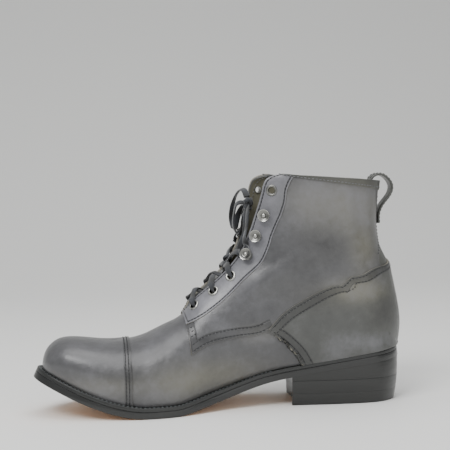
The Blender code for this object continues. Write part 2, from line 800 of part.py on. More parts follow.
def eyelet_spots():
    """Fan row, v and side of every eyelet, low to high on each side."""
    rows = LOW_EYELET_ROWS + (TOP_EYELET_ROW,)
    return [(row, v_inset_from_front(row, EYELET_INSET), side) for side in SIDES for row in rows]


def hook_spots():
    """Fan row, v and side of every hook, low to high on each side."""
    return [(row, v_inset_from_front(row, HOOK_INSET), side) for side in SIDES for row in HOOK_ROWS]


def frame_at(row, v, side, out):
    """Frame on the upper's surface: its Z axis points out and its X axis to the throat's edge."""
    normal = upper_normal(row, v, side)
    forward = upper_point(row, v + 0.02, side) - upper_point(row, v - 0.02, side)
    forward = (forward - normal * forward.dot(normal)).normalized()
    cross = normal.cross(forward)
    turn = Matrix((forward, cross, normal)).transposed().to_4x4()
    return Matrix.Translation(upper_point(row, v, side) + normal * out) @ turn


def make_hole_cutters():
    """Cylinders that pierce the upper and the eyestays at the eyelets."""
    shape = bmesh.new()
    for row, v, side in eyelet_spots():
        bmesh.ops.create_cone(shape, cap_ends=True, segments=HOLE_SIDES, radius1=eyelet_bore() / 2.0 + GAP,
                              radius2=eyelet_bore() / 2.0 + GAP, depth=6.0 * UPPER_WALL,
                              matrix=frame_at(row, v, side, 0.0))
    cutter = finish("eyelet_hole_cutter", shape, METAL_LOOK)
    cutter.hide_render = True
    cutter.display_type = "WIRE"
    return cutter


def eyelet_bore():
    """Outer diameter of an eyelet's barrel."""
    return EYELET_HOLE + 2.0 * EYELET_PLATE


def pierce(item, cutter):
    """Cut the eyelet holes through a piece."""
    cut = item.modifiers.new("eyelet_holes", "BOOLEAN")
    cut.operation = "DIFFERENCE"
    cut.object = cutter


def make_upper(cutter):
    """Hollow shell of the upper, open at the collar, along the throat and underneath."""
    shape = bmesh.new()
    add_patch(shape, len(UPPER_ROWS) - 1, len(UPPER_VS) - 1,
              lambda a, b: (UPPER_ROWS[a], UPPER_VS[b]))
    weld(shape)
    item = with_thickness(finish("upper", shape, LEATHER_LOOK), UPPER_WALL, outward=False)
    pierce(item, cutter)
    return item


def foot_v(row):
    """Lowest v of a panel that reaches down to the welt, just clear of it."""
    low = min(row, HEEL_ROW)
    cut = section(low)
    v = v_of(low, PANEL_FOOT / (cut.front - cut.foot).length)
    return v * max(0.0, 1.0 - (row - low) / HEEL_LIFT_ROWS)


def make_toe_cap():
    """Toe cap over the vamp, up to the straight seam across it."""
    rows = [row for row in UPPER_ROWS if 0.0 < row <= CAP_ROW]
    return panel("toe_cap", LEATHER_LOOK, PANEL_THICK, len(rows) - 1, len(UPPER_VS) - 1,
                 lambda a, b: (rows[a], max(UPPER_VS[b], foot_v(rows[a]))))


def seam_row(curve, v, low, high):
    """Fan row between two others at which a seam that falls with the row reaches a v."""
    for _ in range(30):
        middle = (low + high) / 2.0
        if curve(middle) > v:
            low = middle
        else:
            high = middle
    return (low + high) / 2.0


def make_counter():
    """Counter that wraps the heel from the junction of the side seams of one side to the other."""
    top = seam_v_by_row(COUNTER_TOP)
    front = seam_row_by_v(COUNTER_FRONT)
    junction_row, junction_v = locate(COUNTER_FRONT[-1])
    last = seam_row(top, 0.0, STRAP_ROW, COLLAR_ROW) - STRAP_CLEAR / 2.0
    rows = rows_between(junction_row, last)
    rows += [HEEL_ROW + HEEL_LIFT_ROWS * share for share in (0.5, 1.0)]
    rows += [(before + after) / 2.0 for before, after in zip(rows, rows[1:]) if HEEL_ROW < before < after]
    rows.sort()

    def row_v(a, b):
        row = rows[a]
        v = max(min(UPPER_VS[b], top(row)), 0.0)
        row = max(row, front(v)) if v < junction_v else row
        return row, max(v, foot_v(row))

    return panel("counter", LEATHER_LOOK, TRIM_THICK, len(rows) - 1, len(UPPER_VS) - 1, row_v)


def make_quarters(cutter):
    """Quarter and eyestay of each side."""
    over_vamp = seam_v_by_row(QUARTER_FOOT)
    over_counter = seam_v_by_row(COUNTER_TOP)
    eyestay_back = seam_v_by_row(EYESTAY_BACK)
    strap = columns(BACK_STRAP)["half"]
    junction_row = locate(COUNTER_TOP[0])[0]
    rows = rows_between(THROAT_ROW + 0.05, COLLAR_ROW - BINDING_ROWS)
    seam = SEAM_GAP / UPPER_HEIGHT

    def quarter_row_v(a, b):
        row = rows[a]
        if row < junction_row:
            low = over_vamp(row) + seam
        elif row < STRAP_ROW:
            low = over_counter(row) + 2.0 * seam
        else:
            low = v_of_half(row, strap(row) * BALL_WIDTH) + seam
        return row, min(max(UPPER_VS[b], low), eyestay_back(row) - seam)

    def eyestay_row_v(a, b):
        return rows[a], max(UPPER_VS[b], eyestay_back(rows[a]) + seam)

    count_b = len(UPPER_VS) - 1
    for side, name in ((1, "medial"), (-1, "lateral")):
        panel("quarter_" + name, LEATHER_LOOK, PANEL_THICK, len(rows) - 1, count_b, quarter_row_v, side)
        eyestay = panel("eyestay_" + name, EYESTAY_LOOK, TRIM_THICK, len(rows) - 1, count_b,
                        eyestay_row_v, side, gap=PANEL_GAP + GAP / 2.0)
        pierce(eyestay, cutter)


def make_back_strap():
    """Strap over the back seam, wide where it meets the counter and narrow below the collar."""
    strap = columns(BACK_STRAP)["half"]
    top = seam_v_by_row(COUNTER_TOP)
    rows = rows_between(STRAP_ROW, COLLAR_ROW - BINDING_ROWS)

    def row_v(a, b):
        edge = v_of_half(rows[a], strap(rows[a]) * BALL_WIDTH) - SEAM_GAP / UPPER_HEIGHT
        v = min(UPPER_VS[b], edge)
        first = seam_row(top, v, STRAP_ROW - 1.0, COLLAR_ROW) + STRAP_CLEAR
        row = max(rows[a], first)
        return row, min(v, v_of_half(row, strap(row) * BALL_WIDTH) - SEAM_GAP / UPPER_HEIGHT)

    return panel("back_strap", TRIM_LOOK, PANEL_THICK, len(rows) - 1, LOWER_STEPS, row_v)


def make_collar_binding():
    """Narrow binding around the outside of the collar's edge."""
    first = COLLAR_ROW - BINDING_ROWS * 0.85
    return panel("collar_binding", TRIM_LOOK, TRIM_THICK, 1, len(UPPER_VS) - 1,
                 lambda a, b: ((first, COLLAR_ROW)[a], UPPER_VS[b]))


def make_tongue():
    """Tongue inside the throat, from under the vamp to below the collar."""
    shape_of = columns(TONGUE)
    first, last = TONGUE[0].row, TONGUE[-1].row
    count_a, count_b = 12, 8
    shape = bmesh.new()

    def place(a, b):
        row = first + (last - first) * a / count_a
        cut = section(row)
        line = (cut.front - cut.foot).normalized()
        angle = 0.45 * math.pi * (2.0 * b / count_b - 1.0)
        down = TONGUE_DEPTH * (shape_of["depth"](row) + shape_of["sag"](row) * (1.0 - math.cos(angle)))
        spot = cut.front - line * down
        y = cut.lean - math.sin(angle) * (cut.gap + shape_of["over"](row) * TONGUE_OVERLAP)
        return Vector((spot.x - cut.turn * y, y, spot.z))

    add_sheet(shape, count_a, count_b, place, flipped=True)
    weld(shape)
    return with_thickness(finish("tongue", shape, LEATHER_LOOK), TONGUE_THICK, outward=False)


def smooth_path(points, count):
    """Points read evenly from a smooth curve through the given ones."""
    gaps = [(second - first).length for first, second in zip(points, points[1:])]
    keys = [sum(gaps[:k]) for k in range(len(points))]
    curves = [spline(keys, [point[axis] for point in points]) for axis in range(3)]
    return [Vector([curve(keys[-1] * k / count) for curve in curves]) for k in range(count + 1)]


def strip(centres, acrosses, width, thickness):
    """Flat strip along a path, lying across the given directions, with closed ends."""
    shape = bmesh.new()
    corners = ((0.5, 0.5), (-0.5, 0.5), (-0.5, -0.5), (0.5, -0.5), (0.5, 0.5))
    last = len(centres) - 1

    def place(a, b):
        tangent = (centres[min(a + 1, last)] - centres[max(a - 1, 0)]).normalized()
        across = (acrosses[a] - tangent * acrosses[a].dot(tangent)).normalized()
        side, up = corners[b]
        return centres[a] + across * side * width + tangent.cross(across) * up * thickness

    add_sheet(shape, last, len(corners) - 1, place)
    weld(shape)
    bmesh.ops.holes_fill(shape, edges=[edge for edge in shape.edges if edge.is_boundary])
    bmesh.ops.recalc_face_normals(shape, faces=shape.faces)
    return shape


def make_pull_loop():
    """Loop of strap from inside the collar, over its back edge and down onto the back strap."""
    inside = UPPER_WALL + GAP + LOOP_STAND_OFF + LOOP_THICK / 2.0
    outside_x = PANEL_GAP + PANEL_THICK + 2.0 * GAP + LOOP_THICK / 2.0
    collar = upper_point(COLLAR_ROW, 0.0, 1)
    route = [upper_point(row, 0.0, 1) + Vector((inside, 0.0, 0.0)) for row in (29.2, 29.8)]
    route += [collar + Vector((-row.back, 0.0, row.up)) * LOOP_REACH for row in PULL_LOOP]
    route += [upper_point(row, 0.0, 1) - Vector((outside_x, 0.0, 0.0)) for row in (28.5, 28.0)]
    centres = smooth_path(route, 20)
    return finish("pull_loop", strip(centres, [Vector((0.0, 1.0, 0.0))] * len(centres), LOOP_WIDTH,
                                     LOOP_THICK), TRIM_LOOK)


def turned(profile_points, steps, frame):
    """Body turned about the Z axis of a frame from points given as radius and height."""
    shape = bmesh.new()
    closed = profile_points[0][0] > 0.0
    verts = [shape.verts.new((radius, 0.0, height)) for radius, height in profile_points]
    pairs = list(zip(verts, verts[1:])) + ([(verts[-1], verts[0])] if closed else [])
    edges = [shape.edges.new(pair) for pair in pairs]
    bmesh.ops.spin(shape, geom=verts + edges, cent=(0.0, 0.0, 0.0), axis=(0.0, 0.0, 1.0),
                   angle=2.0 * math.pi, steps=steps, use_merge=True)
    weld(shape)
    bmesh.ops.recalc_face_normals(shape, faces=shape.faces)
    bmesh.ops.transform(shape, matrix=frame, verts=shape.verts)
    return shape


def make_eyelets():
    """Eyelets, each a flange outside and a barrel through the leather."""
    skin = PANEL_GAP + TRIM_THICK + METAL_SEAT
    depth = skin + UPPER_WALL + METAL_SEAT
    bore, barrel, flange = EYELET_HOLE / 2.0, eyelet_bore() / 2.0, EYELET_FLANGE / 2.0
    outline = ((bore, EYELET_PLATE), (flange, EYELET_PLATE), (flange, 0.0), (barrel, 0.0),
               (barrel, -depth), (bore, -depth))
    for number, (row, v, side) in enumerate(eyelet_spots()):
        name = "eyelet_%s_%d" % ("medial" if side > 0 else "lateral", number % 4 + 1)
        finish(name, turned(outline, HOLE_SIDES, frame_at(row, v, side, skin)), METAL_LOOK)


def make_hooks():
    """Lace hooks, each a riveted foot, a neck and a dished cap with a ball at its centre."""
    skin = PANEL_GAP + TRIM_THICK + METAL_SEAT
    cap, neck, plate = HOOK_CAP / 2.0, HOOK_NECK / 2.0, EYELET_PLATE
    ball = neck * 0.9
    outline = ((0.0, 0.0), (cap * 0.8, 0.0), (cap * 0.8, plate), (neck, 2.0 * plate),
               (neck, HOOK_HEIGHT - 2.0 * plate), (cap, HOOK_HEIGHT - plate),
               (cap, HOOK_HEIGHT + plate), (cap * 0.75, HOOK_HEIGHT), (ball, HOOK_HEIGHT),
               (0.0, HOOK_HEIGHT + ball))
    for number, (row, v, side) in enumerate(hook_spots()):
        name = "lace_hook_%s_%d" % ("medial" if side > 0 else "lateral", number % 3 + 1)
        finish(name, turned(outline, HOLE_SIDES, frame_at(row, v, side, skin)), METAL_LOOK)


def lace_out():
    """Height of a lace's middle above the upper where it passes over an eyelet."""
    return PANEL_GAP + TRIM_THICK + METAL_SEAT + EYELET_PLATE + LACE_GAP + LACE_THICK / 2.0


def edge_point(row, side, out):
    """Point over the throat's edge, a distance out from the upper."""
    return upper_point(row, 1.0, side) + upper_normal(row, 0.97, side) * out


def lace_strip(row, v, side, slack):
    """Strip of lace from an eyelet over the throat to just inside its other edge, as a bmesh."""
    count = 12
    far_row = row + CROSSING_ROWS
    middle_row = row + CROSSING_ROWS / 2.0
    cut = section(middle_row)
    forward = (cut.front - cut.foot).normalized()
    toeward = upper_point(row, 1.0, side) - upper_point(far_row, 1.0, side)
    start = outside(row, v, side, lace_out())
    near = edge_point(row + 0.1, side, lace_out() + GAP)
    far = edge_point(far_row, -side, 0.0) - forward * LACE_WIDTH / 2.0
    far.y += side * LACE_WIDTH
    middle = (edge_point(middle_row, 1, 0.0) + edge_point(middle_row, -1, 0.0)) / 2.0
    middle += forward * 2.5 * LACE_THICK + toeward.normalized() * slack
    centres = smooth_path([start, near, middle, far], count)
    acrosses = []
    for k in range(count + 1):
        share = 2.0 * k / count
        out = upper_normal(row, v, side).lerp(forward, min(share, 1.0))
        tangent = centres[min(k + 1, count)] - centres[max(k - 1, 0)]
        acrosses.append(out.cross(tangent).normalized())
    return strip(centres, acrosses, LACE_WIDTH, LACE_THICK)


def make_lace_crossings():
    """Crossings of the lace over the throat, each one joined solid of two strips."""
    spots = {(row, side): v for row, v, side in eyelet_spots()}
    slacks = (LACE_WIDTH, 0.0)
    for number, (row, slack) in enumerate(zip(LOW_EYELET_ROWS, slacks)):
        name = "lace_crossing_%d" % (number + 1)
        item = finish(name, lace_strip(row, spots[row, 1], 1, slack), LACE_LOOK)
        other = finish(name + "_other", lace_strip(row, spots[row, -1], -1, slack), LACE_LOOK)
        other.hide_render = True
        other.display_type = "WIRE"
        union = item.modifiers.new("joined", "BOOLEAN")
        union.operation = "UNION"
        union.object = other


def cord(name, points, count):
    """Plain tube along a smooth curve through the points."""
    data = bpy.data.curves.new(name, "CURVE")
    data.dimensions = "3D"
    data.bevel_depth = LACE_CORD / 2.0
    data.bevel_resolution = 2
    data.use_fill_caps = True
    route = data.splines.new("POLY")
    spots = smooth_path(points, count)
    route.points.add(len(spots) - 1)
    for point, spot in zip(route.points, spots):
        point.co = (*spot, 1.0)
    data.materials.append(look_material(name + "_material", LACE_LOOK))
    item = bpy.data.objects.new(name, data)
    bpy.context.scene.collection.objects.link(item)
    return item


def knot(name, centre, size):
    """Round solid in place of a knot."""
    shape = bmesh.new()
    bmesh.ops.create_uvsphere(shape, u_segments=10, v_segments=7, radius=size / 2.0,
                              matrix=Matrix.Translation(centre))
    return finish(name, shape, LACE_LOOK, smooth_angle=80.0)


def from_knot(centre, size, toward):
    """Two points on which a cord leaves a knot squarely toward another point."""
    way = (Vector(toward) - Vector(centre)).normalized()
    return [Vector(centre) + way * (size / 2.0 + GAP + share * LACE_CORD) for share in (0.0, 0.8)]


def make_lace_cords():
    """Lower knot, upper knot, and the cords that join them and hang from the upper one."""
    low, top = Vector(KNOT_LOW), Vector(KNOT_TOP)
    knot("lace_knot_low", low, KNOT_LOW_SIZE)
    knot("lace_knot_top", top, KNOT_TOP_SIZE)
    spots = {(row, side): v for row, v, side in eyelet_spots()}
    hooks = {(row, side): v for row, v, side in hook_spots()}
    skin = PANEL_GAP + TRIM_THICK + METAL_SEAT
    turn = HOOK_NECK / 2.0 + LACE_CORD / 2.0 + 3.0 * GAP
    height = 2.0 * EYELET_PLATE + LACE_CORD / 2.0 + GAP
    out = PANEL_GAP + TRIM_THICK + LACE_CORD / 2.0 + 3.0 * GAP
    for side, name in ((1, "medial"), (-1, "lateral")):
        row = LOW_EYELET_ROWS[-1]
        start = outside(row, spots[row, side], side, skin + EYELET_PLATE + LACE_CORD / 2.0 + GAP)
        over = edge_point(row, side, out + GAP)
        cord("lace_riser_" + name, from_knot(low, KNOT_LOW_SIZE, over) + [over, start], 6)
        row = HOOK_ROWS[0]
        frame = frame_at(row, hooks[row, side], side, skin + height)
        around = [frame @ Vector((turn * x, side * turn * y, 0.0))
                  for x, y in ((0.6, 1.1), (-0.4, 0.95), (-1.0, 0.0), (-0.4, -0.95), (0.6, -1.1))]
        before = edge_point(row - 0.55, side, out + 2.0 * GAP)
        after = edge_point(row + 0.75, side, out + 3.0 * GAP)
        rest = [Vector((point.x, side * point.y, point.z)) for point in TIE_ROUTE]
        leave = from_knot(low, KNOT_LOW_SIZE, before)
        arrive = from_knot(top, KNOT_TOP_SIZE, rest[-1])[::-1]
        cord("lace_tie_" + name, leave + [before] + around + [after] + rest + arrive, 18)
    for name, route in (("front", LOOP_FRONT_ROUTE), ("side", LOOP_SIDE_ROUTE)):
        points = [Vector(point) for point in route]
        leave = from_knot(top, KNOT_TOP_SIZE, points[0])
        arrive = from_knot(top, KNOT_TOP_SIZE, points[-1])[::-1]
        cord("lace_loop_" + name, leave + points[1:-1] + arrive, 12)
    points = [Vector(point) for point in END_FRONT_ROUTE]
    cord("lace_end_front", from_knot(top, KNOT_TOP_SIZE, points[0]) + points, 6)


def main():
    """Build every piece of the boot."""
    clear_scene()
    make_outsole()
    make_welt()
    make_insole()
    make_heel()
    cutter = make_hole_cutters()
    make_upper(cutter)
    make_toe_cap()
    make_counter()
    make_quarters(cutter)
    make_back_strap()
    make_collar_binding()
    make_tongue()
    make_pull_loop()
    make_eyelets()
    make_hooks()
    make_lace_crossings()
    make_lace_cords()


main()
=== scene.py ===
"""Looks of the lace-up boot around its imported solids.

Metres in the solids' own frame: the origin is the middle of the heel's rest face on the floor, +X
points to the toe, +Y to the inner (medial) side, which faces the camera, and +Z up.
"""
import logging
import math
from dataclasses import dataclass, field
from enum import IntEnum
from typing import Callable, Iterable, NamedTuple, Sequence

import bmesh
import bpy
import numpy as np
from mathutils import Matrix, Vector, noise
from mathutils.kdtree import KDTree


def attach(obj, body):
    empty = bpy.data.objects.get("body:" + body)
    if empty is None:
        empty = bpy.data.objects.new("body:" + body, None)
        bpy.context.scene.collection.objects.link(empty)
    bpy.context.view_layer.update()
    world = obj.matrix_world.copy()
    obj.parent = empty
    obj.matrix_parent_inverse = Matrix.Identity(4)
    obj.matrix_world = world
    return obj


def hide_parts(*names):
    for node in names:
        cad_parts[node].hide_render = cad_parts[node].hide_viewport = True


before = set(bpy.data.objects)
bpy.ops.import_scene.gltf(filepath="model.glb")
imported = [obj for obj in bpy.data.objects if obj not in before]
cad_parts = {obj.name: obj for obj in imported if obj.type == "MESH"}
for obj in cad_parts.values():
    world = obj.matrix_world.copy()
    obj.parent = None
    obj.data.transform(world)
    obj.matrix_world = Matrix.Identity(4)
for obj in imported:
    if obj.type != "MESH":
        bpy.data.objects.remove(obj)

LOG = logging.getLogger("boot")
MM = 0.001
BODY = "root"


class Side(IntEnum):
    """The two sides of the boot, with the sign of their Y."""

    MEDIAL = 1
    LATERAL = -1

    @property
    def label(self) -> str:
        """Its name in the names of nodes."""
        return self.name.lower()


class Plan(NamedTuple):
    """Outline of the sole at a share of its length, in shares of the ball's width."""

    along: float
    medial: float
    lateral: float


class Pair(NamedTuple):
    """A key and its value."""

    key: float
    value: float


class Fan(NamedTuple):
    """One fan section of the upper, in the same shares as the solids use."""

    foot: float
    rise: float
    front: float
    height: float
    girth: float
    belt: float
    full: float
    gap: float
    lean: float
    turn: float


class Seam(NamedTuple):
    """Point of a seam in a side view: shares of the sole's length and of the upper's height."""

    along: float
    height: float


class Tongue(NamedTuple):
    """Tongue at a fan row: depth of its crest, drop and reach of its sides."""

    row: float
    depth: float
    sag: float
    over: float


class Soft(NamedTuple):
    """Soft trough or ridge between two points of the side view, in millimetres; depth is inward."""

    x0: float
    z0: float
    x1: float
    z1: float
    width: float
    depth: float
    side: int


class Tone(NamedTuple):
    """Soft patch in the side view, in millimetres, of painted light and shade mixed with the hide's tone; warm
    tints it toward the warm colour.
    """

    x: float
    z: float
    wide: float
    tall: float
    shade: float
    warm: float


PLAN = (
    Plan(0.000, 0.000, 0.000), Plan(0.013, 0.148, -0.148), Plan(0.033, 0.221, -0.221),
    Plan(0.066, 0.283, -0.283), Plan(0.105, 0.306, -0.307), Plan(0.197, 0.306, -0.311),
    Plan(0.305, 0.278, -0.307), Plan(0.393, 0.264, -0.324), Plan(0.459, 0.289, -0.362),
    Plan(0.525, 0.351, -0.412), Plan(0.639, 0.477, -0.488), Plan(0.692, 0.500, -0.502),
    Plan(0.748, 0.498, -0.489), Plan(0.803, 0.478, -0.444), Plan(0.852, 0.444, -0.380),
    Plan(0.902, 0.396, -0.292), Plan(0.944, 0.334, -0.190), Plan(0.977, 0.259, -0.084),
    Plan(0.995, 0.174, 0.007), Plan(1.000, 0.086, 0.086),
)
OVERHANG = (Pair(0.00, 0.32), Pair(0.30, 0.38), Pair(0.45, 0.60), Pair(0.62, 0.78), Pair(0.80, 0.88),
            Pair(1.00, 1.00))
ARCH = (Pair(0.000, 0.000), Pair(0.083, 0.068), Pair(0.171, 0.189), Pair(0.275, 0.345),
        Pair(0.373, 0.500), Pair(0.518, 0.660), Pair(0.637, 0.757), Pair(0.793, 0.871), Pair(1.000, 1.000))
SPRING = (Pair(0.000, 0.000), Pair(0.172, 0.044), Pair(0.398, 0.208), Pair(0.634, 0.480),
          Pair(0.806, 0.722), Pair(1.000, 1.000))
FAN = (
    Fan(0.984, 0.000, 0.972, 0.006, 0.020, 0.30, 0.20, 0.00, 0.086, 0.000),
    Fan(0.977, 0.000, 0.971, 0.042, 0.112, 0.30, 0.20, 0.00, 0.084, 0.000),
    Fan(0.961, 0.000, 0.964, 0.092, 0.192, 0.30, 0.20, 0.00, 0.080, 0.000),
    Fan(0.934, 0.000, 0.949, 0.141, 0.265, 0.28, 0.21, 0.00, 0.074, 0.000),
    Fan(0.895, 0.000, 0.920, 0.193, 0.336, 0.26, 0.22, 0.00, 0.067, 0.000),
    Fan(0.843, 0.000, 0.869, 0.234, 0.397, 0.25, 0.20, 0.00, 0.060, 0.000),
    Fan(0.793, 0.000, 0.810, 0.261, 0.440, 0.25, 0.17, 0.00, 0.054, 0.000),
    Fan(0.748, 0.000, 0.744, 0.295, 0.466, 0.25, 0.13, 0.00, 0.050, 0.000),
    Fan(0.689, 0.000, 0.692, 0.330, 0.476, 0.24, 0.08, 0.00, 0.046, 0.000),
    Fan(0.630, 0.000, 0.640, 0.376, 0.461, 0.24, 0.04, 0.00, 0.042, 0.000),
    Fan(0.571, 0.000, 0.597, 0.413, 0.425, 0.25, 0.02, 0.00, 0.038, 0.000),
    Fan(0.515, 0.000, 0.571, 0.465, 0.391, 0.27, 0.00, 0.34, 0.032, 0.000),
    Fan(0.453, 0.000, 0.528, 0.515, 0.367, 0.30, 0.00, 0.46, 0.026, 0.002),
    Fan(0.387, 0.000, 0.484, 0.567, 0.353, 0.33, 0.01, 0.56, 0.018, 0.008),
    Fan(0.318, 0.000, 0.449, 0.630, 0.346, 0.36, 0.03, 0.68, 0.012, 0.020),
    Fan(0.249, 0.000, 0.431, 0.680, 0.343, 0.38, 0.06, 0.76, 0.008, 0.032),
    Fan(0.177, 0.000, 0.422, 0.725, 0.341, 0.39, 0.10, 0.82, 0.005, 0.042),
    Fan(0.105, 0.000, 0.415, 0.762, 0.339, 0.40, 0.13, 0.86, 0.003, 0.050),
    Fan(0.056, 0.000, 0.411, 0.789, 0.337, 0.40, 0.16, 0.89, 0.002, 0.055),
    Fan(0.018, 0.000, 0.407, 0.814, 0.335, 0.40, 0.18, 0.91, 0.001, 0.059),
    Fan(0.005, 0.000, 0.403, 0.836, 0.333, 0.40, 0.20, 0.93, 0.000, 0.062),
    Fan(-0.002, 0.079, 0.399, 0.860, 0.331, 0.40, 0.21, 0.95, 0.000, 0.064),
    Fan(-0.001, 0.166, 0.395, 0.885, 0.329, 0.40, 0.22, 0.97, 0.000, 0.066),
    Fan(0.007, 0.262, 0.392, 0.909, 0.327, 0.41, 0.23, 0.99, 0.000, 0.068),
    Fan(0.016, 0.351, 0.389, 0.930, 0.325, 0.42, 0.24, 1.00, 0.000, 0.070),
    Fan(0.025, 0.428, 0.387, 0.948, 0.324, 0.43, 0.25, 1.00, 0.000, 0.070),
    Fan(0.040, 0.494, 0.384, 0.962, 0.326, 0.44, 0.26, 1.00, 0.000, 0.070),
    Fan(0.053, 0.566, 0.380, 0.975, 0.330, 0.45, 0.27, 1.00, 0.000, 0.070),
    Fan(0.057, 0.648, 0.374, 0.986, 0.336, 0.46, 0.28, 1.00, 0.000, 0.070),
    Fan(0.055, 0.748, 0.366, 0.995, 0.344, 0.47, 0.29, 1.00, 0.000, 0.070),
    Fan(0.048, 0.870, 0.354, 1.000, 0.352, 0.48, 0.30, 1.00, 0.000, 0.070),
)
CAP_ROW, THROAT_ROW, HEEL_ROW, COLLAR_ROW = 7.0, 10.0, 20.0, 30.0
BELT_V = 0.35
STRAP_ROW = 24.1
QUARTER_FOOT = (Seam(0.582, 0.231), Seam(0.532, 0.252), Seam(0.488, 0.246), Seam(0.444, 0.231),
                Seam(0.395, 0.217), Seam(0.382, 0.222))
COUNTER_TOP = (Seam(0.382, 0.226), Seam(0.353, 0.276), Seam(0.307, 0.324), Seam(0.262, 0.356),
               Seam(0.217, 0.379), Seam(0.170, 0.400), Seam(0.121, 0.417), Seam(0.077, 0.434),
               Seam(0.035, 0.450))
COUNTER_FRONT = (Seam(0.287, 0.008), Seam(0.306, 0.070), Seam(0.333, 0.133), Seam(0.360, 0.184),
                 Seam(0.379, 0.214))
EYESTAY_BACK = (Seam(0.594, 0.367), Seam(0.537, 0.398), Seam(0.492, 0.438), Seam(0.442, 0.500),
                Seam(0.397, 0.557), Seam(0.375, 0.629), Seam(0.352, 0.738), Seam(0.329, 0.852),
                Seam(0.310, 0.964))
BACK_STRAP = (Pair(24.0, 0.250), Pair(25.0, 0.230), Pair(26.0, 0.175), Pair(27.0, 0.105),
              Pair(28.0, 0.052), Pair(29.0, 0.045), Pair(30.0, 0.045))
TONGUE = (Tongue(8.6, 0.55, 0.40, 1.00), Tongue(9.6, 0.64, 0.70, 1.00), Tongue(11.0, 0.70, 1.20, 0.80),
          Tongue(13.0, 0.78, 1.70, 0.50), Tongue(15.0, 1.00, 2.20, 0.30), Tongue(18.0, 1.05, 2.50, 0.05),
          Tongue(22.0, 1.12, 2.70, -0.05), Tongue(24.4, 1.20, 2.80, -0.10))
PULL_LOOP = ((-0.30, 0.20), (0.20, 0.38), (0.66, 0.13), (0.93, -0.38), (0.74, -0.96), (0.36, -1.42))
LOW_EYELET_ROWS = (11.05, 12.15, 13.20)
HOOK_ROWS = (14.70, 16.60, 20.40)
TOP_EYELET_ROW = 25.40

SOFT = (
    Soft(92, 96, 40, 128, 9.0, -2.2, 1),
    Soft(88, 84, 30, 112, 9.0, 1.8, 1),
    Soft(74, 116, 20, 140, 8.0, 1.2, 1),
    Soft(62, 60, 20, 86, 8.0, 0.9, 1),
    Soft(118, 66, 90, 74, 6.0, 0.8, 1),
    Soft(128, 60, 104, 62, 4.0, -0.8, 1),
    Soft(0, 180, -6, 120, 5.0, 0.7, 0),
    Soft(-10, 178, -14, 124, 4.0, -0.5, 0),
    Soft(30, 168, 16, 140, 9.0, 0.7, 1),
    Soft(150, 22, 132, 58, 6.0, 0.5, 0),
    Soft(163, 20, 147, 62, 5.0, -0.4, 0),
    Soft(90, 92, 40, 120, 9.0, -1.6, -1),
    Soft(86, 80, 32, 104, 9.0, 1.5, -1),
    Soft(60, 132, 14, 150, 8.0, 1.0, -1),
    Soft(122, 62, 92, 70, 6.0, 0.8, -1),
)
# Painted light mixed with tone: patches that lighten or darken the hide. They hold painted highlights, painted
# shade in the creases and painted floor reflection low on the counter and the toe cap, together with the
# hide's own tone.
PAINTED_LIGHT_AND_TONE_PATCHES = (
    Tone(3, 164, 24, 20, 0.55, 0.9), Tone(40, 168, 20, 18, 0.30, 0.6), Tone(24, 128, 26, 14, -0.55, 0.1),
    Tone(34, 92, 30, 12, -0.35, 0.2), Tone(0, 94, 22, 9, 0.30, 1.0), Tone(-22, 76, 16, 16, -0.6, 0.2),
    Tone(0, 52, 34, 8, 0.35, 0.0), Tone(120, 30, 40, 12, 0.05, 0.7), Tone(150, 24, 20, 12, 0.1, 0.5),
    Tone(210, 26, 34, 8, 0.25, 0.5), Tone(186, 40, 7, 10, -0.4, 0.0), Tone(112, 68, 18, 9, 0.35, 0.0),
    Tone(84, 62, 16, 7, 0.25, 0.4), Tone(94, 72, 14, 5, -0.3, 0.0), Tone(-6, 130, 12, 22, 0.1, 0.7),
)


@dataclass(frozen=True)
class Sizes:
    """Sizes shared with the solids, in metres."""

    sole_length: float = 0.305
    ball_width: float = 0.105
    heel_set_back: float = 0.040
    heel_rise: float = 0.0365
    toe_spring: float = 0.0312
    outsole: float = 0.0052
    welt: float = 0.0032
    insole: float = 0.0054
    overhang: float = 0.0048
    welt_bed: float = 0.0028
    top_piece: float = 0.0096
    lift: float = 0.0104
    breast_medial: float = 0.0955
    breast_lateral: float = 0.0905
    breast_hollow: float = 0.0035
    heel_taper: float = 0.0034
    upper_height: float = 0.160
    throat_half: float = 0.025
    wall: float = 0.0022
    panel: float = 0.0012
    trim: float = 0.0014
    panel_gap: float = 0.0005
    gap: float = 0.0003
    tread_back: float = 0.6328
    tread_front: float = 0.6951

    @property
    def skin(self) -> float:
        """Height of the eyestay's face above the upper."""
        return self.trim + 0.3 * MM

    @property
    def seat(self) -> float:
        """Height of the upper's foot above the outsole's underside."""
        return self.outsole + self.welt + 2.0 * self.gap


